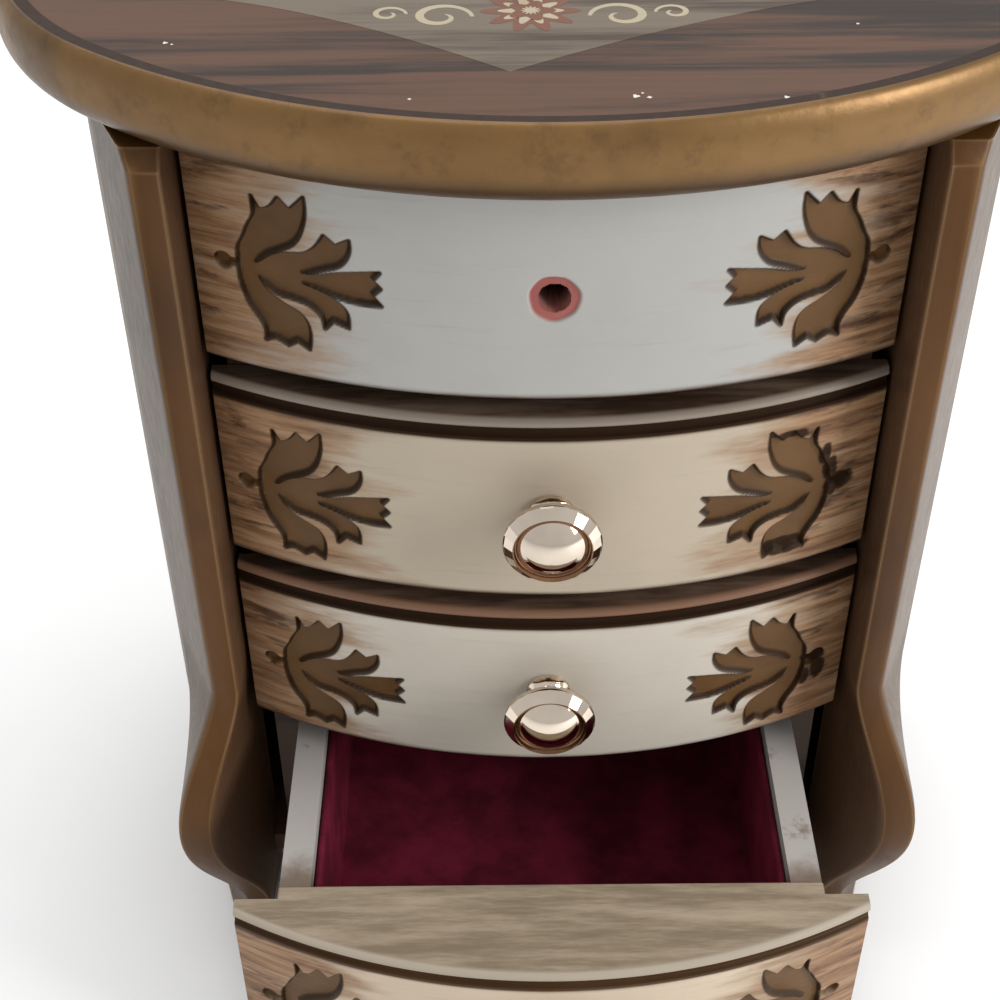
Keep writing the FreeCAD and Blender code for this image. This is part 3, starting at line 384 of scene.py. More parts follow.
# Each set gives the upper face a dark and a light brushed paint, and the lip the colour of its
# painted highlight. The two shaded sets, for the middle drawers, are darker as painted shade under
# the front above.
DRAGGED_TOP = ((0.2, 0.156, 0.105), (0.39, 0.315, 0.226), (0.42, 0.365, 0.29))
SHADED_TOP = ((0.05, 0.028, 0.017), (0.17, 0.115, 0.08), (0.27, 0.228, 0.186))
SHADED_REDDISH_TOP = ((0.05, 0.028, 0.017), (0.17, 0.105, 0.07), (0.21, 0.112, 0.07))
COOL_CREAM = antiqued_cream("cool_cream", (0.395, 0.388, 0.365), 0.0375, *DRAGGED_TOP)
WARM_CREAM = antiqued_cream("warm_cream", (0.455, 0.385, 0.295), 0.035, *SHADED_TOP)
PLAIN_CREAM = antiqued_cream("plain_cream", (0.56, 0.51, 0.435), 0.0365, *SHADED_REDDISH_TOP)
DULL_CREAM = antiqued_cream("dull_cream", (0.59, 0.48, 0.36), 0.0345, *DRAGGED_TOP)
print("finishes", COOL_CREAM.name, WARM_CREAM.name, PLAIN_CREAM.name, DULL_CREAM.name)

# %% [markdown]
# ## The other woods
# The drawer boxes are painted flat white with a few brown rubs, and the open one is smeared with
# brown near its front. The inside boards and the back are stained dark, and the lid's top is a
# satin brown lacquer dragged from side to side.

# %% White paint, dark stain and lid lacquer


def painted_wood(name, pale, stain, stretch, blend_weight, roughness, smeared_to=None):
    """A brushed coat over wood, with stain showing where it is worn or smeared in front."""
    finish, tree, shader = new_finish(name, roughness, specular=0.3)
    brushed = grain(tree, stretch, detail=6)
    patches = grain(tree, 75, detail=5, roughness=0.7)
    fine = grain(tree, 700, detail=2)
    paint = mixed(brushed, shaded(pale, 0.82), pale)
    paint = mixed(between(patches, 0.6, 0.74) * blend_weight, paint, stain)
    if smeared_to is not None:
        ragged = own(tree, "Object")[1] + patches * 0.016
        smear = between(ragged, smeared_to + 0.014, smeared_to + 0.006)
        paint = mixed(smear * 0.85, paint, stain)
    coat(shader, paint, fine * 0.2 + (roughness - 0.1), brushed + fine * 0.3, 0.0002)
    return finish


def dragged_lacquer(name, lacquer, stain, cover):
    """A satin lacquer dragged from side to side, with dark streaks left by the brush."""
    finish, tree, shader = new_finish(name, 0.34, specular=0.22)
    drag = grain(tree, (7, 120, 60), detail=8, roughness=0.65, distortion=0.4)
    hair = grain(tree, (20, 900, 300), detail=3)
    cloud = grain(tree, (16, 26, 26), detail=4)
    dark = between(drag + cloud * 0.25, cover, cover + 0.16)
    paint = mixed(dark, mixed(hair, lacquer, shaded(lacquer, 1.35)), stain)
    coat(shader, paint, hair * 0.22 + 0.24, drag + hair * 0.4, 0.0002)
    return finish


WHITE_WOOD = painted_wood("white_wood", (0.4, 0.375, 0.35), (0.17, 0.11, 0.06), (30, 14, 300),
                          0.7, 0.6)
SMEARED_WHITE = painted_wood("smeared_white", (0.46, 0.43, 0.405), (0.13, 0.085, 0.048),
                             (30, 14, 300), 0.7, 0.6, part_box("drawer_4_sides")[0].y + 3 * MM)
LID_LACQUER = dragged_lacquer("lid_lacquer", (0.07, 0.031, 0.016), (0.018, 0.009, 0.005), 0.57)
LID_PALE = dragged_lacquer("lid_pale", (0.112, 0.088, 0.064), (0.05, 0.031, 0.02), 0.6)
DARK_WOOD = dragged_lacquer("dark_wood", (0.066, 0.036, 0.021), (0.022, 0.011, 0.006), 0.56)
JOINT_BROWN = painted_wood("joint_brown", (0.026, 0.011, 0.005), (0.13, 0.066, 0.03),
                           90, 0.85, 0.7)
SCROLL_CREAM = painted_wood("scroll_cream", (0.38, 0.32, 0.22), (0.28, 0.17, 0.08),
                            200, 0.6, 0.4)
ROSETTE_RED = painted_wood("rosette_red", (0.15, 0.055, 0.028), (0.08, 0.03, 0.018),
                           200, 0.7, 0.38)
CHIP_WHITE = painted_wood("chip_white", (0.62, 0.59, 0.54), (0.4, 0.33, 0.25),
                          500, 0.6, 0.6)
print("painted woods ready")

# %% [markdown]
# ## Velvet and felt
# Flocked velvet is a mat of upright fibres: dark when seen straight on, pale along its folds and
# edges. Sheen gives that, and patches of brushed pile change its tone. Felt is short and matt.

# %% Pile fabrics


def pile(name, deep, bright, sheen, crush):
    finish, tree, shader = new_finish(name, 0.85, specular=0.15)
    brushed = grain(tree, 70, detail=4, roughness=0.65)
    fibre = grain(tree, 2600, detail=2)
    wire(shader.inputs["Sheen Weight"], sheen)
    wire(shader.inputs["Sheen Roughness"], 0.35)
    wire(shader.inputs["Sheen Tint"], shaded(bright, 2.2))
    paint = mixed(between(brushed, 0.35, 0.7), deep, bright)
    coat(shader, paint, 0.85, fibre + brushed * crush, 0.0004)
    return finish


VELVET = pile("crimson_velvet", (0.078, 0.0055, 0.014), (0.18, 0.013, 0.034), 0.35, 1.2)
FELT = pile("brown_felt", (0.02, 0.014, 0.01), (0.045, 0.032, 0.022), 0.3, 0.5)
print("finishes", VELVET.name, FELT.name)

# %% [markdown]
# ## Metals, mirror and clear sheet
# Polished nickel is nearly a mirror with a warm tint. Brass and the cast frame are duller, with
# turning marks. The mirror is a clean silver face. The cover over the movement is clear plastic.

# %% Metal, glass and plastic


def metal(name, colour, roughness, stretch, depth, tarnish):
    finish, tree, shader = new_finish(name, roughness, 1.0)
    marks = grain(tree, stretch, detail=4)
    dull = grain(tree, 90, detail=3)
    paint = mixed(between(dull, 0.35, 0.75), colour, shaded(colour, 1 - tarnish))
    coat(shader, paint, marks * (roughness * 0.6) + roughness * 0.7, marks, depth, 0.35)
    return finish


NICKEL = metal("polished_nickel", (0.74, 0.64, 0.53), 0.07, 300, 0.00001, 0.18)
# Painted reflection and shade for the knob's sunk ring: brown and dark.
REFLECTION_AND_SHADE_NICKEL = metal("reflection_and_shade_nickel", (0.26, 0.15, 0.09), 0.22, 300, 0.00002, 0.4)
BRASS = metal("satin_brass", (0.7, 0.5, 0.22), 0.26, (900, 120, 900), 0.00004, 0.35)
STEEL = metal("bright_steel", (0.56, 0.56, 0.57), 0.22, (900, 900, 120), 0.00003, 0.25)
CAST_FRAME = metal("cast_frame", (0.46, 0.45, 0.43), 0.42, 260, 0.00012, 0.3)
GILT = metal("gilt_frame", (0.62, 0.44, 0.17), 0.3, 240, 0.00008, 0.45)
SILVERED = metal("silvered_glass", (0.88, 0.89, 0.9), 0.02, 30, 0.000002, 0.02)


def clear_sheet():
    finish, tree, shader = new_finish("clear_sheet", 0.06)
    scuffs = grain(tree, (400, 60, 60), detail=4)
    wire(shader.inputs["Transmission Weight"], 0.96)
    wire(shader.inputs["IOR"], 1.49)
    coat(shader, (0.93, 0.96, 0.97), between(scuffs, 0.5, 0.8) * 0.15, scuffs, 0.00001, 0.2)
    return finish


CLEAR = clear_sheet()
print("metals and sheet ready")

# %% [markdown]
# ## Paint the boards that stay as they are
# Straight boards, plates and gears already have their true shape in the construction, so they
# only take a finish.

# %% Dress the construction's own nodes
PLAIN_NODES = {
    RUBBED_GOLD: ["rear_leg_left", "rear_leg_right", "side_panel_left", "side_panel_right"],
    DARK_WOOD: ["back_panel", "bottom_board", "shelf_lower", "shelf_upper", "compartment_floor",
                "drawer_guide_left", "drawer_guide_right", "top_cap_left", "top_cap_right"],
    LID_LACQUER: ["lid_panel"],
    BRASS: ["hinge_case_leaves", "hinge_lid_leaves", "spring_barrel", "pinned_cylinder",
            "governor_wheel", "winding_key"],
    STEEL: ["hinge_pins", "comb", "fly", "stop_wire", "winding_arbor"],
    CAST_FRAME: ["movement_frame"],
    GILT: ["mirror_frame"],
    SILVERED: ["mirror"],
    CLEAR: ["movement_cover"],
    WHITE_WOOD: ["drawer_2_sides", "drawer_3_sides"] + [
        f"drawer_{number}_{part}" for number in (2, 3, 4) for part in ("back", "bottom")],
    SMEARED_WHITE: ["drawer_4_sides"],
}
for finish, nodes in PLAIN_NODES.items():
    for node in nodes:
        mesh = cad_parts[node].data
        if not mesh.materials:
            mesh.materials.append(finish)
        for place in range(len(mesh.materials)):
            mesh.materials[place] = finish
print("dressed", sum(len(nodes) for nodes in PLAIN_NODES.values()), "nodes")

# %% [markdown]
# ## The carved leaf
# Each end of a front has a leaf cut into it: five lobes with torn-looking tips curl from a root
# near the end, with a small round bud on a stem outside it. It could be a thin piece glued on, but
# the real one is sunk. So the leaf is an outline, drawn in mm from its root, and a formula that
# turns the distance inside the outline into the depth of the cut. Blunt corners of the outline
# are cut off twice, which makes them curves, and sharp ones stay as the points of the tips.

# %% Depth of the cut at any point of a front
CUT_DEPTH = 1.3
WALL = 0.75
SPREAD = 0.42
BUD_PLACE = (-5.6, 0.4)
BUD_RADIUS = 1.7
STEM_START = (-2.8, 0.6)
STEM_HALF_WIDTH = 0.85
UPPER_SPRAY = [(0.1, 0.9), (0.7, 1.9), (2.1, 3.3), (4.5, 4.7), (6.8, 6.0), (8.3, 8.2), (9.4, 11.9),
               (9.3, 15.1), (6.8, 12.4), (5.0, 14.3), (3.4, 12.0), (1.7, 11.5), (0.6, 13.8),
               (0.8, 10.4), (-0.7, 8.1), (-1.6, 5.7), (-2.8, 3.7)]
LOWER_SPRAY = [(-2.9, 1.8), (-3.1, -1.0), (-2.7, -4.2), (-1.7, -7.3), (-0.1, -9.5), (0.8, -11.6),
               (0.5, -13.6), (2.2, -12.6), (4.4, -13.8), (6.1, -12.6), (8.1, -13.9), (8.5, -11.7),
               (8.4, -9.3), (7.3, -7.1), (4.2, -5.7), (1.5, -3.9), (0.5, -2.0)]
LOWER_SIDE = [(1.7, -2.6), (3.6, -4.0), (6.4, -4.3), (9.0, -5.0), (10.9, -6.8), (11.1, -9.1),
              (12.6, -7.4), (15.2, -8.3), (15.3, -5.8), (14.3, -4.1), (11.7, -2.5), (8.0, -1.5)]
MIDDLE_SIDE = [(9.1, -1.5), (11.4, -2.0), (14.5, -2.9), (17.5, -3.3), (20.9, -3.2), (19.4, -1.4),
               (20.9, 0.1), (19.6, 1.5), (20.9, 3.1), (16.7, 2.4), (13.3, 1.8), (10.3, 0.7),
               (7.9, 0.5)]
UPPER_SIDE = [(9.0, 1.0), (11.6, 2.3), (14.0, 3.1), (15.5, 4.6), (16.3, 6.6), (16.2, 8.4),
              (13.9, 7.1), (12.1, 8.7), (10.6, 6.2), (8.6, 4.6), (5.3, 4.2), (2.5, 2.9), (0.8, 1.3)]
BLUNT = 62.0


def unit(value):
    """The value, held between 0 and 1."""
    return np.clip(value, 0, 1)


def rounded_outline(outline, passes=2):
    """Cut off every blunt corner, so that only the pointed tips stay sharp."""
    for _ in range(passes):
        smoother = []
        for place, corner in enumerate(outline):
            before = Vector(outline[place - 1])
            after = Vector(outline[(place + 1) % len(outline)])
            corner = Vector(corner)
            turn = math.degrees((corner - before).angle(after - corner))
            if turn > BLUNT:
                smoother.append(tuple(corner))
            else:
                smoother += [tuple(corner.lerp(before, 0.25)), tuple(corner.lerp(after, 0.25))]
        outline = smoother
    return outline


LEAF = rounded_outline(UPPER_SPRAY + LOWER_SPRAY + LOWER_SIDE + MIDDLE_SIDE + UPPER_SIDE)


def distance_inside(across, up, outline):
    """How far each point lies inside the outline, spread outwards a little; negative outside."""
    nearest = np.full(across.shape, 1e9)
    inside = np.zeros(across.shape, dtype=bool)
    for (x0, y0), (x1, y1) in zip(outline, outline[1:] + outline[:1]):
        wide, tall = x1 - x0, y1 - y0
        from_x, from_y = across - x0, up - y0
        share = unit((from_x * wide + from_y * tall) / max(wide ** 2 + tall ** 2, 1e-9))
        nearest = np.minimum(nearest, np.hypot(from_x - share * wide, from_y - share * tall))
        if tall:
            crossing = (y0 > up) != (y1 > up)
            inside ^= crossing & (across < x0 + from_y * wide / tall)
    return np.where(inside, nearest, -nearest) + SPREAD


def leaf_depth(across, up):
    """Depth of the cut in mm, at points given from the leaf's root."""
    within = np.clip(distance_inside(across, up, LEAF), 0, None)
    deepest = unit(within / WALL) * (0.85 + 0.15 * unit(within / 2))
    from_bud = np.hypot(across - BUD_PLACE[0], up - BUD_PLACE[1]) / BUD_RADIUS
    deepest = np.maximum(deepest, unit((1 - from_bud ** 2) / 0.6))
    reach, climb = BUD_PLACE[0] - STEM_START[0], BUD_PLACE[1] - STEM_START[1]
    share = unit((across - STEM_START[0]) / reach)
    from_stem = np.hypot(across - (STEM_START[0] + reach * share),
                         up - (STEM_START[1] + climb * share))
    deepest = np.maximum(deepest, unit((STEM_HALF_WIDTH - from_stem) / 0.4) * 0.8)
    return CUT_DEPTH * deepest * deepest * (3 - 2 * deepest)


print("leaf outline of", len(LEAF), "points, cut", CUT_DEPTH, "mm deep")

# %% [markdown]
# ## The face of a front
# A front has a curved face with two sunk leaves, and on the drawers a groove with a rounded lip
# above it. The face starts as a flat grid. Columns and rows lie close where the carving and the lip
# are, and far apart where the face is plain. The other helpers say for each point of the grid how
# far it is set back, and how much glaze, dark line and painted highlight its paint has; the dark
# lines carry painted shade too.

# %% Lay out a face and its paint
LIP_HEIGHT = 1.8
LIP_ROUND = 0.9
GROOVE_HEIGHT = 1.7
GROOVE_DEPTH = 0.9
GROOVE_SLOPE = 0.35
GROOVE_SHADE = 0.8
EDGE_HEIGHT = 0.7
EDGE_ROUND = 0.5
LEAF_INNER = 25.0
LEAF_OUTER = 57.5
GRID = (372, 176)


def face_grid(height, holed):
    """A flat grid, and how far across and up each of its points belongs, in mm."""
    half = HALF_FRONT / MM
    columns = [-half, -LEAF_OUTER, -LEAF_INNER, -5, 5, LEAF_INNER, LEAF_OUTER, half]
    middle = (0.44, 0.56) if holed else (0.455, 0.545)
    rows, row_shares = [0, 1.5, height - 1.5, height], [0, 0.05, 0.95, 1]
    if not holed:
        lip_foot = height - LIP_HEIGHT
        rows = [0, 1, lip_foot - GROOVE_HEIGHT - 0.5, lip_foot - 0.02, lip_foot + 0.02, height]
        row_shares = [0, 0.03, 0.8, 0.88, 0.885, 1]
    edit = bmesh.new()
    bmesh.ops.create_grid(edit, x_segments=GRID[0], y_segments=GRID[1], size=0.5)
    flat = np.array([corner.co[:] for corner in edit.verts]) + 0.5
    across = np.interp(flat[:, 0], [0, 0.02, 0.43, *middle, 0.57, 0.98, 1], columns)
    return edit, across, np.interp(flat[:, 1], row_shares, rows)


def set_back(up, height, holed):
    """How far the face is set back at each height, in mm."""
    if holed:
        return EDGE_ROUND * unit(1 - np.minimum(up, height - up) / EDGE_HEIGHT) ** 2
    lip_foot = height - LIP_HEIGHT
    lip = LIP_ROUND * unit(np.abs(up - (height - LIP_HEIGHT / 2)) / (LIP_HEIGHT / 2)) ** 2.5
    groove = GROOVE_DEPTH * unit((up - (lip_foot - GROOVE_HEIGHT)) / GROOVE_SLOPE)
    low_edge = EDGE_ROUND * unit(1 - up / EDGE_HEIGHT) ** 2
    return np.where(up > lip_foot, lip, np.maximum(groove, low_edge))


def leaf_paint(from_root, above_root, cut, step=0.2):
    """Glaze on the leaf's floor, a dark line along its walls with painted shade on the upper ones,
    and a faint painted highlight on the lower ones.
    """
    rise = leaf_depth(from_root, above_root + step) - leaf_depth(from_root, above_root - step)
    aside = leaf_depth(from_root + step, above_root) - leaf_depth(from_root - step, above_root)
    # Painted shade: the walls are darker where they face down.
    wall = unit(np.hypot(rise, aside) * 1.5) * np.clip(0.6 - rise * 0.5, 0.15, 1)
    within = distance_inside(from_root, above_root, LEAF)
    contour = 0.88 * unit((within + 0.15) / 0.2) * unit((WALL + 0.15 - within) / 0.3)
    # A faint painted highlight on the lower walls, which face up.
    light = np.clip(rise * 0.6 - 0.15, 0, 0.05)
    return unit(cut / CUT_DEPTH * 1.6), np.maximum(wall, contour), light


def lip_paint_and_light(up, height, groove_glaze_and_shade):
    """Glaze in the groove and on the lip; dark in the groove, partly painted shade; a dark line of
    painted shade at the foot of the lip's round; and a painted highlight on the lip above it.
    """
    lip_foot = height - LIP_HEIGHT
    shade_foot = lip_foot - GROOVE_HEIGHT - GROOVE_SHADE
    in_groove = unit((up - shade_foot) / 0.3) * (up < lip_foot + 0.1)
    on_lip = unit((up - lip_foot) / LIP_HEIGHT)
    line = (on_lip < 0.12) * (on_lip > 0.05)
    dark = np.maximum(groove_glaze_and_shade * in_groove, 0.75 * line)
    return np.maximum(in_groove, 0.9 * (on_lip > 0.05)), dark, 0.85 * unit((on_lip - 0.15) / 0.25)


def stain_paint(stains, from_root, above_root):
    """How dark the stains by the leaf are."""
    dark = np.zeros_like(from_root)
    waves = 2.3 * from_root + 1.1 * above_root
    for across, up, wide, tall in stains:
        away = np.hypot((from_root - across) / wide, (above_root - up) / tall)
        ragged = away + 0.06 * np.sin(waves) + 0.04 * np.sin(5.1 * above_root)
        dark = np.maximum(dark, 0.92 * unit((1.1 - ragged) / 0.25))
    return dark


print("face grid", GRID)

# %% [markdown]
# ## The bow fronts
# The grid is bent to the bow and pushed in by the carving. Its border is drawn straight back a
# little, so that the edge stays crisp, and then to the flat rear of the board. The top front has
# lost its knob: a hole is left, with the paint torn off round it. The drawers have a tongue behind
# their front, between the drawer's sides. Two drawers have dark stains by their right leaf.

# %% Make the fronts
LEAF_ROOT = 49.0
HOLE_RADIUS = 2.6
HOLE_DEPTH = 9.0
CHIP_RADIUS = 4.35
CHIP_DEPTH = 0.45
EDGE_DIRT_SHADE_REACH = 1.4 * MM
BORDER = 0.9 * MM
TONGUE_HALF = 52 * MM
TONGUE_LAP = 0.4 * MM
STAINS = {
    # number of the front: across and up from the right leaf's root, half width, half height
    2: [(-5.4, 0.3, 2.7, 2.3), (-3.1, 3.2, 1.3, 3.6), (-1.7, 7.0, 1.1, 3.2), (-3.6, -1.4, 1.2, 1.6),
        (4.2, -12.6, 4.8, 1.7), (5.4, 13.6, 3.6, 1.3)],
    3: [(-4.9, -0.2, 2.8, 1.8), (-6.2, -3.4, 1.6, 3.0), (-3.4, -4.6, 1.2, 2.4)],
}
FRONTS = [
    # number, body, finish, leaf's root above the foot, its shift to the side, groove's darkness
    # (glaze, with painted shade)
    (1, "case", COOL_CREAM, 20.1, 0.0, 0.0),
    (2, "drawer_2", WARM_CREAM, 17.5, -1.0, 0.95),
    (3, "drawer_3", PLAIN_CREAM, 16.6, -0.4, 0.95),
    (4, "drawer_4", DULL_CREAM, 17.2, 0.0, 0.55),
]


def carved_front(number, body, finish, leaf_root, leaf_shift, groove_glaze_and_shade):
    holed = number == 1
    node = "false_front" if holed else f"drawer_{number}_front"
    low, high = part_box(node)
    height = (high.z - low.z) / MM
    end_plane = low.y + BOW_RISE
    edit, across, up = face_grid(height, holed)
    from_root, above_root = LEAF_ROOT - np.abs(across - leaf_shift), up - leaf_root
    cut = leaf_depth(from_root, above_root)
    back = set_back(up, height, holed)
    glazed, dark, light = leaf_paint(from_root, above_root, cut)
    stains = stain_paint(STAINS.get(number, []), from_root, above_root) * (across > 0)
    dark = np.maximum(dark, stains)
    bare = np.zeros_like(cut)
    if holed:
        above_hole = up - FRONT_HEIGHT / MM / 2
        turn = np.arctan2(above_hole, across)
        torn = CHIP_RADIUS + 0.08 * np.sin(3 * turn + 1) + 0.05 * np.sin(7 * turn)
        from_hole = np.hypot(across, above_hole)
        bare = unit((torn - from_hole) / 0.35)
        back = back + CHIP_DEPTH * bare + HOLE_DEPTH * unit((HOLE_RADIUS - from_hole) / 0.3)
        # Painted shade: the hole and its mouth are dark.
        dark = np.maximum(dark, unit((HOLE_RADIUS + 0.15 - from_hole) / 0.3))
        bare = bare * (1 - unit((HOLE_RADIUS - from_hole) / 0.2))
    else:
        glazed, dark, light = map(np.maximum, (glazed, dark, light),
                                  lip_paint_and_light(up, height, groove_glaze_and_shade))
    bow = np.sqrt((BOW_RADIUS / MM) ** 2 - across ** 2) - (BOW_RADIUS - BOW_RISE) / MM
    depth = end_plane / MM - bow + cut + back
    for corner, x, y, z in zip(edit.verts, across, depth, up):
        corner.co = Vector((x * MM, y * MM, low.z + z * MM))

    carving = edit.verts.layers.float_color.new("carving")
    raw_wood = edit.verts.layers.float.new("raw_wood")
    # How near the face's top or bottom edge a point lies, for the dirt and painted shade there.
    blend_weight = edit.verts.layers.float.new("edge_dirt_and_shade")
    face_top = high.z - (LIP_HEIGHT + GROOVE_HEIGHT) * MM * (not holed)
    for corner, red, green, blue, raw in zip(edit.verts, glazed, unit(dark), light, bare):
        from_edge = max(0.0, min(corner.co.z - low.z, face_top - corner.co.z))
        corner[carving] = (red, green, blue, 1)
        corner[raw_wood] = raw
        corner[blend_weight] = math.exp(-from_edge / EDGE_DIRT_SHADE_REACH)
    for to_rear in (False, True):
        border = [edge for edge in edit.edges if edge.is_boundary]
        for corner in drawn_on(edit, border)[0]:
            corner.co.y = end_plane + END_THICKNESS if to_rear else corner.co.y + BORDER
            corner[carving] = (0, 0, 0, 1)
            corner[raw_wood] = 0
    border = [edge for edge in edit.edges if edge.is_boundary]
    bmesh.ops.contextual_create(edit, geom=border)
    piece = finished(f"front_{number}_carved", edit, finish, body, node, 50.0)
    print(piece.name, "points", len(piece.data.vertices))
    if not holed:
        rear = end_plane + END_THICKNESS
        tongue = block((-TONGUE_HALF, rear - TONGUE_LAP, low.z), (TONGUE_HALF, high.y, high.z))
        finished(f"front_{number}_tongue", softened(tongue, 0.5 * MM), finish, body,
                 node)


for front in FRONTS:
    carved_front(*front)

# %% [markdown]
# ## The cabriole front legs
# A leg is a narrow corner post whose foot swings out in a knee and tucks in at the ankle. It
# could be carved from a block, but its plan is a simple outline at every height. So one outline
# with two rounded corners is drawn upwards in many short steps, each placed by the knee's curve.

# %% Make the two front legs
LEG_INNER = 61.0
LEG_OUTER = 66.4
LEG_SIDE = 75.7
LEG_PROUD = 10.5
LEG_BACK = 9.5
KNEE_OUT = 9.5
KNEE_FORWARD = 10.0
KNEE_INNER_SHARE = 0.8
KNEE_TOP = 76.0
ANKLE = 10.0
TOE_SHARE = 0.25
LEG_STEPS = 60
CORNER_SHARE = 0.085
CORNER_STEPS = 6
TOP_HEIGHT = 3.0
TOP_DRAWN_BACK = 0.86


def knee_swell(height):
    """How far the knee stands out at a height in mm, from 0 to 1."""
    if height < ANKLE:
        return TOE_SHARE * ((ANKLE - height) / ANKLE) ** 2
    if height > KNEE_TOP:
        return 0.0
    share = (height - ANKLE) / (KNEE_TOP - ANKLE)
    return max(0.0, math.sin(math.pi * share)) ** 1.5


def leg_place(across, forward, swell):
    """A point of the plan: across goes from the inner side out, forward from rear to front."""
    front = -LEG_PROUD - KNEE_FORWARD * swell
    inner = LEG_INNER + KNEE_OUT * KNEE_INNER_SHARE * swell * forward
    outer = LEG_SIDE + (LEG_OUTER + KNEE_OUT * swell - LEG_SIDE) * forward
    return inner + across * (outer - inner), LEG_BACK + forward * (front - LEG_BACK)


def front_leg(side, hand):
    low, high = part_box(f"front_leg_{side}")
    foot, top = low.z / MM, high.z / MM
    heights = [foot + (KNEE_TOP + 4 - foot) * step / LEG_STEPS for step in range(LEG_STEPS + 1)]
    heights += [top - TOP_HEIGHT, top]
    edit = bmesh.new()
    plan = edit.verts.layers.float_vector.new("plan_share")
    ring = [edit.verts.new(corner) for corner in ((0, 0, 0), (0, 1, 0), (1, 1, 0), (1, 0, 0))]
    edit.faces.new(ring)
    bmesh.ops.bevel(edit, geom=ring[1:3], offset=CORNER_SHARE, segments=CORNER_STEPS,
                    affect="VERTICES", profile=0.5, material=-1)
    level, edges = list(edit.verts), list(edit.edges)
    for corner in level:
        corner[plan] = corner.co
    for height in heights:
        if height != heights[0]:
            level, edges = drawn_on(edit, edges)
        kept = TOP_DRAWN_BACK if height == top else 1.0
        for corner in level:
            x, y = leg_place(corner[plan].x, corner[plan].y * kept, knee_swell(height))
            corner.co = Vector((x * hand * MM, FRONT_PLANE + y * MM, height * MM))
    bmesh.ops.contextual_create(edit, geom=edges)
    leg = finished(f"leg_{side}_shaped", edit, RUBBED_GOLD, "case",
                   f"front_leg_{side}", 40.0)
    print(leg.name, "from", round(foot, 2), "to", round(top, 2), "mm")


front_leg("left", -1)
front_leg("right", 1)

# %% [markdown]
# ## The lid's rim
# The rim is a broad half-round moulding that follows an oval and is cut straight at the back. Its
# section is the same all the way round, so one oval loop of edges is drawn through the section:
# along the bottom, up round the nose, over the shoulder, in across the top and down the inner wall.

# %% Make the rim
LID_END_RADIUS = 60.0
RIM_WIDTH = 8.0
NOSE = 6.7
SHOULDER = 1.9
SHOULDER_DROP = 5.2
PANEL_SUNK = 0.4
LOOP_POINTS = 288
CURVE_STEPS = 12
rim_low, rim_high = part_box("lid_rim")
LID_HALF_WIDTH = (rim_high.x - rim_low.x) / 2 / MM
LID_HALF_DEPTH = 73.0
LID_MIDDLE = rim_low.y / MM + LID_HALF_DEPTH
LID_REAR = rim_high.y / MM
LID_BASE = rim_low.z / MM
LID_THICKNESS = (rim_high.z - rim_low.z) / MM
TOP_FLAT = LID_THICKNESS - PANEL_SUNK


def oval_point(turn, inset):
    """A point of the lid's oval, drawn in by inset: two round ends and two flatter sides."""
    across = LID_HALF_WIDTH - LID_END_RADIUS
    along = LID_HALF_DEPTH - LID_END_RADIUS
    side = (across ** 2 + LID_HALF_DEPTH ** 2 - LID_END_RADIUS ** 2) / (2 * along)
    drop = side - LID_HALF_DEPTH
    x, y = math.cos(turn), math.sin(turn)
    far = side - inset
    reach = abs(y) * -drop + math.sqrt(max(0.0, far ** 2 - (drop * x) ** 2))
    if math.atan2(abs(y) * reach + drop, abs(x) * reach) < math.atan2(drop, across):
        end = LID_END_RADIUS - inset
        reach = abs(x) * across + math.sqrt(max(0.0, end ** 2 - (across * y) ** 2))
    return x * reach, y * reach


def lid_loop_place(turn, inset, rear_inset, up):
    """A point of a loop on the lid, cut straight behind; up is from the lid's underside."""
    x, y = oval_point(turn, inset)
    rear = LID_REAR - LID_MIDDLE - rear_inset
    return Vector((x * MM, (LID_MIDDLE + min(y, rear)) * MM, (LID_BASE + up) * MM))


def moulding(section):
    """Draw an oval loop through a section of (inset, inset at the rear, height) places."""
    edit = bmesh.new()
    bmesh.ops.create_circle(edit, cap_ends=False, segments=LOOP_POINTS, radius=1.0)
    loop = list(edit.verts)
    turns = [math.atan2(corner.co.y, corner.co.x) for corner in loop]
    first = edges = list(edit.edges)
    for number, place in enumerate(section):
        if number:
            loop, edges = drawn_on(edit, edges)
        for corner, turn in zip(loop, turns):
            corner.co = lid_loop_place(turn, *place)
    bmesh.ops.bridge_loops(edit, edges=first + edges)
    bmesh.ops.remove_doubles(edit, verts=edit.verts, dist=2e-6)
    return edit


def rim_section():
    section = [(RIM_WIDTH, RIM_WIDTH, 0.0), (NOSE, 0.0, 0.0)]
    for step in range(1, CURVE_STEPS + 1):
        turn = math.pi / 2 * (1 - step / CURVE_STEPS)
        section.append((NOSE * (1 - math.cos(turn)), 0.0, NOSE * (1 - math.sin(turn))))
    for step in range(CURVE_STEPS + 1):
        turn = math.pi / 2 * step / CURVE_STEPS
        section.append((SHOULDER * (1 - math.cos(turn)), 0.0,
                        LID_THICKNESS - SHOULDER_DROP * (1 - math.sin(turn))))
    return section + [(SHOULDER + 0.5, SHOULDER + 0.5, TOP_FLAT), (RIM_WIDTH, RIM_WIDTH, TOP_FLAT)]


rim = finished("lid_rim_moulding", moulding(rim_section()), RIM_GOLD, "lid",
               "lid_rim", 40.0)
print("rim points", len(rim.data.vertices))

# %% [markdown]
# ## Inlay and painted ornament on the lid
# The flat top carries a dark line where it meets the rim, a pale field whose front and rear edges
# come to a point, and plain rosettes between scrolls. Each is no thicker than a coat of paint, so
# it is a sheet a few hundredths of a millimetre thick that lies on the top. A few chips near the
# rim show the white ground under the lacquer.

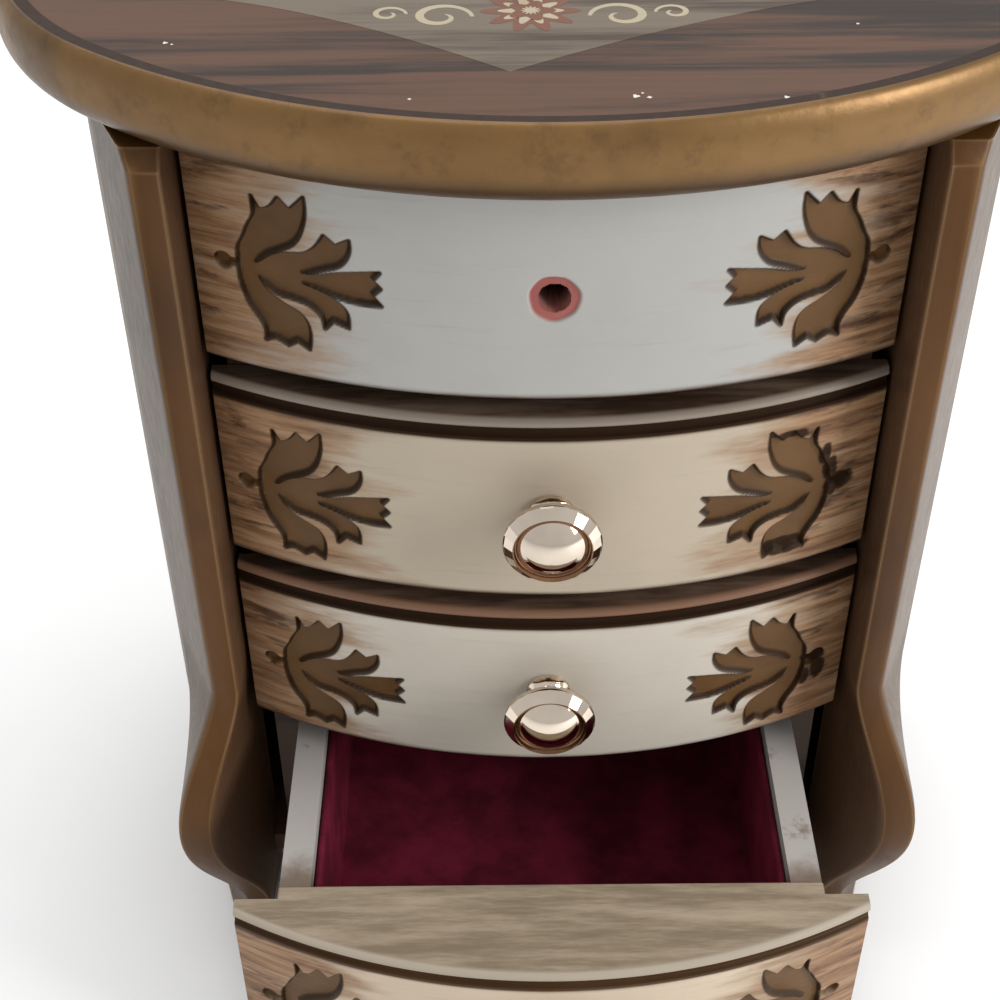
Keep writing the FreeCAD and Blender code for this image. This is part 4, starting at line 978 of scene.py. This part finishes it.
# %% Lay the field, the rosettes and the scrolls
TOP = LID_BASE + TOP_FLAT
COAT = 0.03
ORNAMENT = TOP + COAT
FIELD_HALF_WIDTH = 70.0
FIELD_POINT = 54.0
FIELD_SIDE = 24.0
FIELD_SHIFT = -7.0
FIELD_STEPS = 30
SCROLL_STEPS = 44
CHIPS = [
    # across, along, reach, points
    (11.0, -62.5, 0.6, 3), (12.9, -62.9, 0.4, 4), (12.0, -61.5, 0.25, 3), (32.5, -63.2, 0.45, 3),
    (-59.5, -42.8, 0.45, 3), (-58.4, -43.4, 0.25, 4), (47.0, -38.0, 0.3, 3), (-21.5, -62.8, 0.3, 4),
]


def flat_sheet(name, outline, level, finish):
    """A thin closed sheet of paint with that outline, in mm on the lid's top."""
    edit = bmesh.new()
    corners = [edit.verts.new((x * MM, (LID_MIDDLE + y) * MM, level * MM)) for x, y in outline]
    sheet = edit.faces.new(corners)
    raised = bmesh.ops.extrude_face_region(edit, geom=[sheet], use_keep_orig=True)
    bmesh.ops.translate(edit, verts=points_in(raised), vec=(0, 0, COAT * MM))
    finished(name, edit, finish, "lid")


def flat_ring(name, outer, inner, finish):
    """A band of paint that follows the lid's oval between two insets."""
    corners = [(outer, outer, TOP_FLAT), (inner, inner, TOP_FLAT),
               (inner, inner, TOP_FLAT + COAT), (outer, outer, TOP_FLAT + COAT)]
    finished(name, moulding(corners), finish, "lid")


def field_outline():
    """Hollow curves that meet at a point in front and behind, the rear ones drawn in."""
    quarter = []
    for step in range(FIELD_STEPS + 1):
        share = step / FIELD_STEPS
        sweep = (1 - share) ** 1.6
        quarter.append((FIELD_HALF_WIDTH * share, FIELD_SIDE + (FIELD_POINT - FIELD_SIDE) * sweep))
    front = [(-x, -y) for x, y in reversed(quarter[1:])] + [(x, -y) for x, y in quarter]
    rear = [(x, y * 0.8) for x, y in reversed(quarter)] + [(-x, y * 0.8) for x, y in quarter[1:]]
    return [(x * 0.93 + FIELD_SHIFT * (1 - abs(x) / FIELD_HALF_WIDTH), y)
            for x, y in front + rear]


def rosette(name, middle_x, middle_y, petals, reach, finish, level):
    """A round flower: a wavy outline with one wave for each petal."""
    outline = []
    for step in range(petals * 10):
        turn = math.tau * step / (petals * 10)
        radius = reach * (0.8 + 0.2 * math.cos(petals * turn))
        outline.append((middle_x + radius * math.cos(turn), middle_y + radius * math.sin(turn)))
    flat_sheet(name, outline, level, finish)


def scroll(name, start_x, start_y, hand, size):
    """A flat tapering curl that winds in on itself."""
    outer, inner = [], []
    for step in range(SCROLL_STEPS + 1):
        share = step / SCROLL_STEPS
        turn = math.pi * 2.3 * share
        radius = size * (1 - 0.78 * share)
        width = size * 0.11 * math.sin(math.pi * min(1.0, share * 0.9 + 0.1)) + 0.15
        for side, edge in ((1, outer), (-1, inner)):
            reach = radius + side * width
            edge.append((start_x + hand * size - hand * reach * math.cos(turn),
                         start_y + reach * math.sin(turn)))
    flat_sheet(name, outer + inner[::-1], ORNAMENT, SCROLL_CREAM)


def spray(name, middle_y, size):
    """A rosette of four layers between two pairs of scrolls."""
    layers = (("outer", 10, 1, ROSETTE_RED), ("ring", 10, 0.66, SCROLL_CREAM),
              ("inner", 5, 0.5, ROSETTE_RED), ("eye", 12, 0.2, SCROLL_CREAM))
    for number, (layer, petals, share, finish) in enumerate(layers):
        rosette(f"{name}_{layer}", FIELD_SHIFT / 2, middle_y, petals, size * share, finish,
                ORNAMENT + COAT * number)
    for hand, side in ((-1, "left"), (1, "right")):
        start = FIELD_SHIFT / 2 + hand * size * 1.15
        scroll(f"{name}_scroll_{side}", start, middle_y - size * 0.25, hand, size * 0.62)
        scroll(f"{name}_tip_{side}", start + hand * size * 1.3, middle_y - size * 0.1, hand,
               size * 0.36)


flat_ring("lid_joint_line", SHOULDER + 0.4, SHOULDER + 2.6, JOINT_BROWN)
flat_ring("lid_top_border", SHOULDER + 2.6, RIM_WIDTH + 0.3, LID_LACQUER)
flat_sheet("lid_field", field_outline(), TOP, LID_PALE)
spray("lid_middle", 0.0, 13.0)
spray("lid_front", -32.0, 8.0)
spray("lid_rear", 27.0, 7.0)
for number, (across, along, reach, points) in enumerate(CHIPS, 1):
    rosette(f"lid_chip_{number}", across, along, points, reach, CHIP_WHITE, ORNAMENT)
print("ornament on the lid's top at", round(ORNAMENT, 2), "mm")

# %% [markdown]
# ## The knobs
# A knob is turned from brass and nickel plated. A flange and a thin neck carry a disc with a
# sloping rim, a sunk ring and a dome. The ring is painted brown and dark: a painted reflection of
# the wood around it and painted shade in its hollow. Turned work is spun from half its outline. The
# sloping rim is cut in flats, so it is spun in fewer steps and stays flat-shaded.

# %% Spin the knobs
FORWARD = Vector((0, -1, 0))
KNOB_FOOT = 12.5 * MM
DOME_FOOT = 9.75
DOME_TOP = 12.5
DOME_EDGE = 6.2
DOME_RADIUS = (DOME_EDGE ** 2 + (DOME_TOP - DOME_FOOT) ** 2) / (2 * (DOME_TOP - DOME_FOOT))
DOME_STEPS = 14
KNOB_BACK = [
    (0.0, 0.01), (0.0, 4.1), (0.3, 4.3), (0.9, 4.2), (1.2, 3.6), (1.9, 2.9), (3.2, 2.65),
    (4.6, 2.9), (5.6, 3.9), (6.4, 5.6), (6.9, 7.4), (7.3, 8.3), (7.7, 8.62), (8.1, 8.7),
    (8.6, 8.68),
]
KNOB_BEVEL = [(8.6, 8.68), (8.9, 8.5), (10.5, 7.0)]
KNOB_RING = [(10.5, 7.0), (10.58, 6.87), (10.5, 6.74), (9.7, 6.55), (9.62, 6.38),
             (DOME_FOOT, DOME_EDGE)]
KNOB_DOME = [(DOME_FOOT, DOME_EDGE)]
for step in range(1, DOME_STEPS + 1):
    radius = DOME_EDGE * math.cos(math.pi / 2 * step / DOME_STEPS)
    rise = math.sqrt(DOME_RADIUS ** 2 - radius ** 2) - (DOME_RADIUS - DOME_TOP)
    KNOB_DOME.append((rise, max(radius, 0.01)))
KNOB_SCREW = [(0, 0.01), (0, 2), (-20.5, 2), (-20.8, 0.01)]
KNOB_PARTS = [
    # part, profile, steps, angle kept smooth, finish
    ("back", KNOB_BACK, 72, 40, NICKEL), ("bevel", KNOB_BEVEL, 24, 8, NICKEL),
    ("ring", KNOB_RING, 72, 40, REFLECTION_AND_SHADE_NICKEL), ("dome", KNOB_DOME, 72, 40, NICKEL),
    ("screw", KNOB_SCREW, 24, 35, STEEL),
]

for number in (2, 3, 4):
    low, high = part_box(f"drawer_{number}_knob")
    middle = Vector((0, low.y + KNOB_FOOT, (low.z + high.z) / 2))
    for part, profile, steps, angle, finish in KNOB_PARTS:
        finished(f"knob_{number}_{part}", turned(profile, middle, FORWARD, steps), finish,
                 f"drawer_{number}", f"drawer_{number}_knob", angle)
    print("knob", number, "middle", [round(part, 4) for part in middle])

# %% [markdown]
# ## Velvet trays
# Each drawer and the deep bin hold a tray of card covered in velvet. A tray is a block whose top
# is inset and pushed down to leave thin walls, with every edge softened as fabric rounds a fold.
# The boards between the compartments are wrapped in the same velvet, so their edges are round too.

# %% Make the trays
TRAY_WALL = 1.2 * MM
TRAY_FOLD = 0.45 * MM
COVERED = {"ring_platform": 0.6 * MM, "partition_long": 1.0 * MM, "partition_cross": 1.0 * MM}


def velvet_tray(node, body):
    low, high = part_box(node)
    edit = block(low, high)
    top = max(edit.faces, key=lambda face: face.calc_center_median().z)
    bmesh.ops.inset_region(edit, faces=[top], thickness=TRAY_WALL, use_even_offset=True)
    for corner in points_in(bmesh.ops.extrude_face_region(edit, geom=[top])):
        corner.co.z = low.z + TRAY_WALL
    if top.is_valid:
        bmesh.ops.delete(edit, geom=[top], context="FACES_ONLY")
    finished(f"{node}_velvet", softened(edit, TRAY_FOLD), VELVET, body, node)


for number in (2, 3, 4):
    velvet_tray(f"drawer_{number}_lining", f"drawer_{number}")
velvet_tray("bin_lining", "case")
for node, edge_round in COVERED.items():
    finished(f"{node}_covered", softened(block(*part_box(node)), edge_round), VELVET, "case",
             node)
print("trays", 4, "covered boards", len(COVERED))

# %% [markdown]
# ## Ring rolls
# Three foam rolls covered in velvet grip the rings between them. Each is fuller in its middle, and
# the cloth is gathered in at the ends, with small folds that run out from the gathering. A cloth
# simulation could puff it up, but the roll is short, tight and round, so its section is spun and
# the folds are pressed into the spun surface.

# %% Make the rolls
FOLDS = 14
FOLD_DEPTH = 0.05
FOLD_REACH = 4.0
CROWN = 0.5
ROLL_STEPS = 32
END_LENGTH = 2.2
ROLL_END = [(0.5, 0.01), (0.3, 0.9), (0.15, 2.0), (0.0, 3.4), (0.4, 4.6), (1.2, 5.5)]


def ring_roll(node):
    low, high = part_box(node)
    length = (high.x - low.x) / MM
    full = (high.z - low.z) / 2 / MM
    middle = Vector((low.x, (low.y + high.y) / 2, (low.z + high.z) / 2))
    profile = list(ROLL_END)
    for step in range(ROLL_STEPS + 1):
        share = step / ROLL_STEPS
        profile.append((END_LENGTH + (length - 2 * END_LENGTH) * share,
                        full - CROWN * (2 * share - 1) ** 2))
    profile += [(length - place, radius) for place, radius in reversed(ROLL_END)]
    spun = turned(profile, middle, (1, 0, 0), 84)
    for corner in spun.verts:
        from_end = min(corner.co.x - low.x, high.x - corner.co.x) / MM
        offset = corner.co - Vector((corner.co.x, middle.y, middle.z))
        turn = math.atan2(offset.z, offset.y)
        fold = FOLD_DEPTH * math.exp(-from_end / FOLD_REACH) * (0.5 - 0.5 * math.cos(FOLDS * turn))
        corner.co -= offset * fold
    roll = finished(f"{node}_padded", spun, VELVET, "case", node, 60.0)


for place in ("front", "middle", "rear"):
    ring_roll(f"ring_roll_{place}")
print("rolls", 3, "with", FOLDS, "folds at each end")

# %% [markdown]
# ## Felt pads and small metal fittings
# Four square felt pads stand under the legs. The hinges are held by countersunk screws, each with a
# thin dark sheet on its head as painted shade for the slot, and a brass ring lines the key's hole
# in the back.

# %% Pads, screws and the key's ring
BACKWARD = Vector((0, 1, 0))
PAD = 8 * MM
SCREW_HEAD = [(0, 0.01), (0, 1.15), (0.12, 1.1), (0.22, 0.8), (0.26, 0.01)]
SCREW_SLOT = Vector((1.7, 0.05, 0.26)) * MM
SLOT_PLACE = BACKWARD * 0.27 * MM
SCREW_SPREAD = 32 * MM
SCREW_STEP = 7 * MM
SCREW_EDGE = 4 * MM
SCREW_SUNK = 0.8 * MM
KEY_RING = [(0, 3), (0, 5.4), (0.3, 5.5), (0.9, 5), (1.1, 4.2), (0.9, 3.3), (0.4, 3), (0, 3)]


def slotted_screw(name, middle, body):
    """A countersunk head seen from behind, with a thin dark sheet on it as painted shade in its
    slot.
    """
    finished(name, turned(SCREW_HEAD, middle, BACKWARD, 28), STEEL, body)
    middle = Vector(middle) + SLOT_PLACE
    slot = block(middle - SCREW_SLOT / 2, middle + SCREW_SLOT / 2)
    finished(f"{name}_slot", softened(slot, 0.01 * MM, 1), JOINT_BROWN, body)


low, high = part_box("foot_pads")
pads = [(x, y) for x in (low.x, high.x - PAD) for y in (low.y, high.y - PAD)]
for number, (x, y) in enumerate(pads, 1):
    pad = block((x, y, low.z), (x + PAD, y + PAD, high.z))
    finished(f"felt_pad_{number}", softened(pad, 0.35 * MM), FELT, "case", "foot_pads")

case_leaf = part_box("hinge_case_leaves")[0]
lid_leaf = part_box("hinge_lid_leaves")[1]
for hand, side in ((-1, "left"), (1, "right")):
    for step in range(3):
        x, y = hand * SCREW_SPREAD + (step - 1) * SCREW_STEP, case_leaf.y + SCREW_SUNK
        slotted_screw(f"case_screw_{side}_{step}", (x, y, case_leaf.z + SCREW_EDGE), "case")
        slotted_screw(f"lid_screw_{side}_{step}", (x, y, lid_leaf.z - SCREW_EDGE), "lid")

low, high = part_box("winding_arbor")
hole = Vector(((low.x + high.x) / 2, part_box("back_panel")[1].y, (low.z + high.z) / 2))
finished("key_hole_ring", turned(KEY_RING, hole, BACKWARD, 56), BRASS, "case")
print("pads", len(pads), "screws 12, ring 1")

# %% [markdown]
# ## Floor, light and camera
# The box was photographed on white, from above and in front, with soft light from the right. The
# floor is white and large, and the world shows white to the camera and through clear sheet, while
# it lights the box at a plain level.

# %% Floor and world
WORLD_LEVEL = 0.68
LIGHTS = [
    # name, place, side of the square, power
    ("light_right", (0.60, -0.30, 0.40), 0.3, 3.3),
    ("light_above", (-0.05, 0.22, 0.85), 0.8, 5.4),
]
LIGHT_AIM = Vector((0, 0, 0.1))


def placed(name, data):
    """An object of the scene that belongs to no body."""
    holder = bpy.data.objects.new(name, data)
    bpy.context.scene.collection.objects.link(holder)
    return holder


def pale_floor():
    edit = bmesh.new()
    bmesh.ops.create_grid(edit, x_segments=1, y_segments=1, size=3.0)
    mesh = bpy.data.meshes.new("floor")
    edit.to_mesh(mesh)
    edit.free()
    finish, tree, shader = new_finish("floor_paper", 0.8, specular=0.1)
    paper = grain(tree, 40, detail=2)
    wire(shader.inputs["Base Color"], mixed(paper, (0.9, 0.9, 0.9), (0.92, 0.92, 0.92)))
    mesh.materials.append(finish)
    placed("floor", mesh)


def white_world():
    world = bpy.data.worlds.new("studio")
    bpy.context.scene.world = world
    world.use_nodes = True
    background = world.node_tree.nodes["Background"]
    rays = [added(world.node_tree, "LightPath", {}, f"Is {kind} Ray")
            for kind in ("Camera", "Transmission")]
    level = worked("MAXIMUM", *rays) * (1.0 - WORLD_LEVEL) + WORLD_LEVEL
    wire(background.inputs["Color"], (1, 1, 1))
    wire(background.inputs["Strength"], level)


pale_floor()
white_world()
for name, place, side, power in LIGHTS:
    lamp = bpy.data.lights.new(name, "AREA")
    lamp.shape = "RECTANGLE"
    lamp.size = lamp.size_y = side
    lamp.energy = power
    holder = placed(name, lamp)
    holder.location = place
    holder.rotation_euler = (LIGHT_AIM - Vector(place)).to_track_quat("-Z", "Y").to_euler()
print("stage ready, lights", len(LIGHTS))

# %% [markdown]
# ## The camera
# The camera's place was worked out from the fronts' edges in the photograph: close to the box,
# above its lid and looking down at the middle fronts.

# %% Place the camera
CAMERA_PLACE = (-9.0 * MM, -260.4 * MM, 313.9 * MM)
CAMERA_PITCH = 39.27
CAMERA_YAW = 0.01
CAMERA_ROLL = -0.52
CAMERA_LENS = 59.88

camera = bpy.data.cameras.new("camera")
camera.lens = CAMERA_LENS
camera.sensor_width = 36.0
camera.clip_start = 0.01
holder = placed("camera", camera)
turns = [Matrix.Rotation(math.radians(angle), 4, axis) for angle, axis in (
    (CAMERA_YAW, "Z"), (90 - CAMERA_PITCH, "X"), (CAMERA_ROLL, "Z"))]
holder.matrix_world = Matrix.Translation(CAMERA_PLACE) @ (turns[0] @ turns[1] @ turns[2])
bpy.context.scene.camera = holder
bpy.context.scene.view_settings.view_transform = "Standard"
print("camera at", CAMERA_PLACE)
